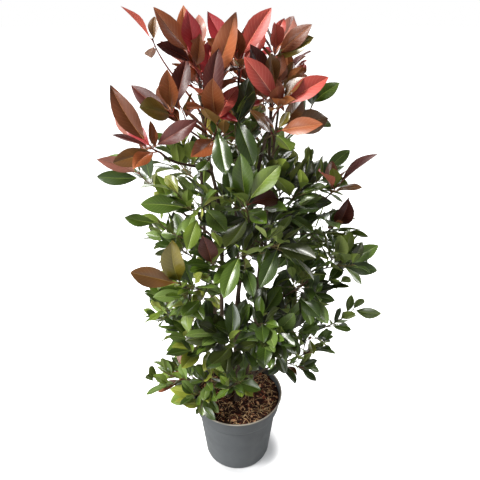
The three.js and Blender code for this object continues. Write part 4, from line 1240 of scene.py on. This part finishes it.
def slot_cutters(looks):
    """A rounded bar for each drain slot, through the corner of the base; its faces carry the painted shade of
    the slot walls.
    """
    cutters = Joined()
    for i in range(DRAIN_SLOTS):
        bearing = DRAIN_BEARING + 360 * i / DRAIN_SLOTS
        out, sideways = heading(bearing, 0), heading(bearing + 90, 0)
        turns = turns_of(SLOT_SIDES)
        ring = [np.sign(way) * np.abs(way) ** 0.5 for way in (np.cos(turns), np.sin(turns))]
        rows = [out * reach + sideways * (y * SLOT_WIDTH / 2) + UP * (z * SLOT_HEIGHT - SLOT_SINK)
                for reach in (BASE_RADIUS - SLOT_DEPTH / 2, BASE_RADIUS + SLOT_DEPTH / 2)
                for y, z in zip(*ring)]
        faces = ring_faces(2, SLOT_SIDES)
        cutters.add(np.array(rows), faces, [1] * len(faces))
    return cutters.object("cutter", looks)


def pot_piece():
    joined = Joined()
    joined.add(*lathe(pot_profile(), POT_TURNS))
    # the walls of the drain slots take a near-black material, painted shade in the slots
    looks = [pot_material(), soil_material("pot_slots", *SLOT_SHADE_TONES)]
    pot, cutter = joined.piece("nursery_pot", looks, "pot_plastic", ["pot"]), slot_cutters(looks)
    boolean = pot.modifiers.new("slots", "BOOLEAN")
    boolean.object, boolean.operation, boolean.solver = cutter, "DIFFERENCE", "EXACT"
    cut = bpy.data.meshes.new_from_object(pot.evaluated_get(bpy.context.evaluated_depsgraph_get()))
    pot.modifiers.clear()
    pot.data = cut
    bpy.data.objects.remove(cutter)
    smooth(cut, POT_SHARP)


pot_piece()

# ---------------------------------------------------------------- potting soil, chips and straw
SOIL_TURNS, SOIL_ROWS, SOIL_EDGE, SOIL_CROWDING = 120, 46, 103.4, 0.8
SOIL_DROP, DROP_CURVE, SETTLED = 3, 1.3, 0.6  # how much lower at the wall, and everywhere
CLOD_HEIGHT, CLOD_RATE, CLOD_SEED, CALM = 3.4, 0.055, 3.1, 0.6  # calmer round the stems
CLOD_DIMENSION, CLOD_GAPS, CLOD_OCTAVES = 0.9, 2.0, 5
# Below the surface the soil follows the inside of the pot down, and fills the drain slots: radius, height.
SOIL_UNDER = (
    (COLLAR_RADIUS - 3.4, COLLAR_BOTTOM + SHOULDER), (BODY_RADIUS - 3.4, COLLAR_BOTTOM - SHOULDER),
    (BASE_RADIUS - 3.4, 9), (BASE_RADIUS - 1.1, 6), (BASE_RADIUS - 1.1, 4.2), (BASE_RADIUS - 2.5, 1.5),
    (BASE_RADIUS - 4, 0.5))
STREWN_EDGE, STEM_FREE = 101, 9.5  # chips and straw lie within the one, and this far from the stems
# Bark chips: how many, how much longer than the others, and their tones.
CHIPS = {
    "dark": (430, 1, (24, 13, 11), (42, 23, 18), (64, 37, 29)),
    "brown": (330, 1, (48, 26, 19), (76, 43, 31), (104, 64, 47)),
    "red": (100, 1.15, (70, 32, 22), (104, 54, 37), (140, 84, 60)),
    "pale": (90, 1.15, (138, 98, 72), (176, 134, 100), (210, 176, 142))}
CHIP_LIMIT, CHIP_SHARP = RIM_RADIUS - 7.4, 40
SHORTEST_CHIP, CHIP_RANGE, CHIP_TURN, CHIP_TILT, CHIP_ROLL = 2.2, 6.2, 6.28, 0.9, 0.8  # millimetres, radians
CHIP_WIDTH, CHIP_THICKNESS = (0.34, 0.3), (0.16, 0.16)  # draws, as shares of its length
CHIP_LIFT, CHIP_CORNER = (0.1, 0.5), (0.72, 0.5)  # draws, of its thickness and for each corner
STRAW_COUNT, STRAW_STEPS, STRAW_RINGS, STRAW_SIDES, FEWEST_POINTS = 250, 7, 10, 4, 4
STRAW_STEP, STRAW_CURL, STRAW_WANDER = (1.8, 4), 60, 50  # millimetres, degrees
THINNEST_STRAW, STRAW_RANGE, STRAW_TAPER, STRAW_LIFT, STRAW_RISE = 0.42, 0.4, 0.5, 1.4, 2.8
STRAW_TONES = ((150, 112, 76), (204, 168, 124), (238, 214, 176))


def ground(x, y):
    """Height of the soil: level round the stems, a little lower at the wall, rough all over."""
    far = math.hypot(x, y)
    level = SOIL_LEVEL - SOIL_DROP * max(0, (far - SOIL_FLAT) / (SOIL_EDGE - SOIL_FLAT)) ** DROP_CURVE
    place = Vector((x * CLOD_RATE, y * CLOD_RATE, CLOD_SEED))
    clods = CLOD_HEIGHT * noise.fractal(place, CLOD_DIMENSION, CLOD_GAPS, CLOD_OCTAVES)
    return level + clods * mix(CALM, 1, min(1, far / SOIL_FLAT)) - SETTLED


def soil_piece():
    rows = []
    surface = [(SOIL_EDGE * ((r + 0.5) / (SOIL_ROWS - 0.5)) ** SOIL_CROWDING, None)
               for r in range(SOIL_ROWS)]
    for far, z in (*surface, *SOIL_UNDER):
        for turn in -turns_of(SOIL_TURNS):
            x, y = far * math.cos(turn), far * math.sin(turn)
            rows.append((x, y, ground(x, y) if z is None else z))
    joined = Joined()
    joined.add(rows, ring_faces(len(rows) // SOIL_TURNS, SOIL_TURNS))
    look = soil_material("soil_compost", (22, 11, 8), (42, 23, 16), (74, 42, 29))
    joined.piece("soil_bed", [look], "potting_soil", ["potting_soil"])


def icosahedron():
    """Its corners and faces: a point, a ring of five, and the same turned over."""
    ring = [(0.894 * math.cos(t), 0.894 * math.sin(t), 0.447) for t in turns_of(5)]
    points = [(0, 0, 1), *ring]
    faces = [[0, 1 + k, 1 + (k + 1) % 5] for k in range(5)] + [[6, 7 + (k + 1) % 5, 7 + k] for k in range(5)]
    for k in range(5):
        first, second, opposite, beside = 1 + k, 1 + (k + 1) % 5, 7 + (k + 3) % 5, 7 + (k + 2) % 5
        faces += [[first, opposite, second], [first, beside, opposite]]
    return points + [(-x, -y, -z) for x, y, z in points], faces


def strewn(draw):
    """A place on the soil, clear of the stems' feet."""
    while True:
        far, turn = STREWN_EDGE * math.sqrt(draw()), 2 * math.pi * draw()
        x, y = far * math.cos(turn), far * math.sin(turn)
        if all(math.dist((x, y), path[0][:2]) > STEM_FREE for _, _, path in STEMS.values()):
            return x, y


def chip_pieces():
    draw = seeded(424243)
    corners, faces = icosahedron()
    for look, (count, longer, *tones) in CHIPS.items():
        joined = Joined()
        for _ in range(count):
            x, y = strewn(draw)
            long = (SHORTEST_CHIP + CHIP_RANGE * draw() ** 2) * longer
            wide, thick = long * draw_from(draw, *CHIP_WIDTH), long * draw_from(draw, *CHIP_THICKNESS)
            turn, tilt, roll = CHIP_TURN * draw(), CHIP_TILT * (draw() - 0.5), CHIP_ROLL * (draw() - 0.5)
            ahead = heading(math.degrees(turn), math.degrees(tilt))
            flat = unit(min(across(ahead), key=lambda way: abs(way[2])) + UP * roll)
            axes = np.array((ahead * long, flat * wide, cross(ahead, flat) * thick))
            base = np.array((x, y, ground(x, y) + thick * draw_from(draw, *CHIP_LIFT)))
            points = np.array([base + corner @ axes * draw_from(draw, *CHIP_CORNER)
                               for corner in np.array(corners)])
            points[:, :2] *= np.minimum(1, CHIP_LIMIT / np.hypot(points[:, 0], points[:, 1]))[:, None]
            joined.add(points, faces)
        looks = [soil_material(f"chip_{look}", *tones)]
        joined.piece(f"soil_chips_{look}", looks, "potting_soil", sharp=CHIP_SHARP)


def straw_piece():
    draw = seeded(77003)
    joined = Joined()
    for _ in range(STRAW_COUNT):
        spot, path = np.array((*strewn(draw), 0.0)), []
        step, bearing, curl = draw_from(draw, *STRAW_STEP), 360 * draw(), STRAW_CURL * (draw() - 0.5)
        thick = THINNEST_STRAW + STRAW_RANGE * draw() ** 2
        for _ in range(STRAW_STEPS):
            if math.hypot(*spot) > STREWN_EDGE:
                break
            path.append(spot + UP * (ground(*spot[:2]) + STRAW_LIFT + STRAW_RISE * draw()))
            spot = spot + heading(bearing, 0) * step
            bearing += curl + STRAW_WANDER * (draw() - 0.5)
        if len(path) < FEWEST_POINTS:
            continue
        stations = [(share, 0, thick * (1 - STRAW_TAPER * share)) for share in np.linspace(0, 1, STRAW_RINGS)]
        limb = Limb("straw", spline(path), None, STRAW_SIDES, [0, 1])
        joined.add(tube(limb, stations, STRAW_SIDES), ring_faces(STRAW_RINGS, STRAW_SIDES))
    joined.piece("soil_straw", [soil_material("straw", *STRAW_TONES)], "potting_soil")


soil_piece()
chip_pieces()
straw_piece()

# ---------------------------------------------------------------- floor, light and camera, in metres
CAMERA_PLACE, CAMERA_DOWN = (0.0065, -0.840, 1.016), 26.3  # degrees below the horizon
IMAGE_WIDTH, FOCAL_PIXELS, SENSOR = 480, 450, 36
FLOOR_REACH, FLOOR_SIDES = 60, 96
FLOOR_GLOW = 0.75  # seen by the camera alone
FLOOR_TONES = (grey(0.91), grey(0.93))
FLOOR_BOUNCE = grey(0.42)  # the floor as the plant sees it
# A painted shadow on the floor by the pot's foot: its centre, the distances from it where it is darkest and
# where it ends, and the share of the floor's glow and tone left at its darkest.
PAINTED_SHADOW_CENTRE, PAINTED_SHADOW_REACH, PAINTED_SHADOW_LEAST = (0.016, -0.02, 0), (0.07, 0.116), 0.2
PAINTED_SHADOW_TONE = (0.4, 0.41, 0.43, 1)  # painted shadow colour on the floor where the pot stands
SURROUND = 0.2  # strength of the white surround as a light
SUN_AHEAD, SUN_POWER, SUN_SPREAD, SUN_COLOUR = (0.85, 0.3, -1.0), 2.7, 12, (1, 0.98, 0.95)
DISKS = {  # round lamps: where each stands, what it looks at, size, watts and colour
    "soft_box": ((-1.3, -0.9, 1.9), (0, 0, 0.6), 1.0, 42, (1, 0.985, 0.96)),
    "back_light": ((-0.5, 1.6, 1.7), (0, 0, 0.6), 1.0, 20, (1, 1, 1)),
    "side_light": ((1.6, 0.5, 1.2), (0, 0, 0.5), 1.0, 20, (1, 1, 1)),
    "low_light": ((-0.95, -1.2, 0.5), (0, 0, 0.2), 0.6, 8, (0.96, 0.98, 1))}


def floor_piece():
    """A white floor, with a soft painted shadow on it round the foot of the pot."""
    joined = Joined()
    turns = turns_of(FLOOR_SIDES)
    rim = np.stack([np.cos(turns), np.sin(turns), 0 * turns], 1) * FLOOR_REACH / MM
    joined.add(rim, [list(range(FLOOR_SIDES))])
    shader = Shader("floor_white", roughness=0.9, specular=0.1)
    tone = shader.ramp(shader.noise(3, detail=1.0), (0, 1), FLOOR_TONES)
    seen = shader.node("LightPath").outputs["Is Camera Ray"]
    away = shader.node("VectorMath", {0: shader.place, 1: PAINTED_SHADOW_CENTRE}, operation="DISTANCE")
    # the painted shadow darkens the floor's colour and lowers its glow near the pot's foot
    painted_shadow = shader.map_range(away.outputs["Value"], *PAINTED_SHADOW_REACH, low=PAINTED_SHADOW_LEAST)
    tone = shader.blend(painted_shadow, PAINTED_SHADOW_TONE, tone)
    glow = shader.math("MULTIPLY", seen, shader.math("MULTIPLY", painted_shadow, FLOOR_GLOW))
    shader.set({"Base Color": shader.blend(seen, FLOOR_BOUNCE, tone), "Emission Color": WHITE,
                "Emission Strength": glow})
    floor = joined.object("floor", [shader.material])


def world_light():
    """A white surround that lights the plant at its own strength."""
    world = bpy.data.worlds.new("studio")
    world.use_nodes = True
    tree = world.node_tree
    light = tree.nodes["Background"]
    wire(tree, light, {"Color": WHITE, "Strength": SURROUND})
    seen = add_node(tree, "Background", {"Color": WHITE, "Strength": 1.0})
    path = add_node(tree, "LightPath", {})
    choice = add_node(tree, "MixShader", {"Fac": path.outputs["Is Camera Ray"], 1: light.outputs[0],
                                          2: seen.outputs[0]})
    wire(tree, tree.nodes["World Output"], {"Surface": choice.outputs[0]})
    bpy.context.scene.world = world


def add_lamp(name, kind, power, colour, ahead):
    lamp = bpy.data.lights.new(name, kind)
    lamp.energy, lamp.color = power, colour
    obj = placed(name, lamp)
    obj.rotation_euler = Vector(ahead).to_track_quat("-Z", "Y").to_euler()
    return obj


floor_piece()
world_light()
add_lamp("key_light", "SUN", SUN_POWER, SUN_COLOUR, SUN_AHEAD).data.angle = math.radians(SUN_SPREAD)
for name, (place, target, size, power, colour) in DISKS.items():
    lamp = add_lamp(name, "AREA", power, colour, Vector(target) - Vector(place))
    lamp.location, lamp.data.shape, lamp.data.size = place, "DISK", size

lens = bpy.data.cameras.new("camera")
lens.sensor_width, lens.lens = SENSOR, SENSOR * FOCAL_PIXELS / IMAGE_WIDTH
lens.clip_start, lens.clip_end = 0.01, 100
camera = placed("camera", lens)
camera.location = CAMERA_PLACE
camera.rotation_euler = (math.radians(90 - CAMERA_DOWN), 0, 0)
bpy.context.scene.camera = camera
bpy.context.scene.view_settings.view_transform = "Standard"
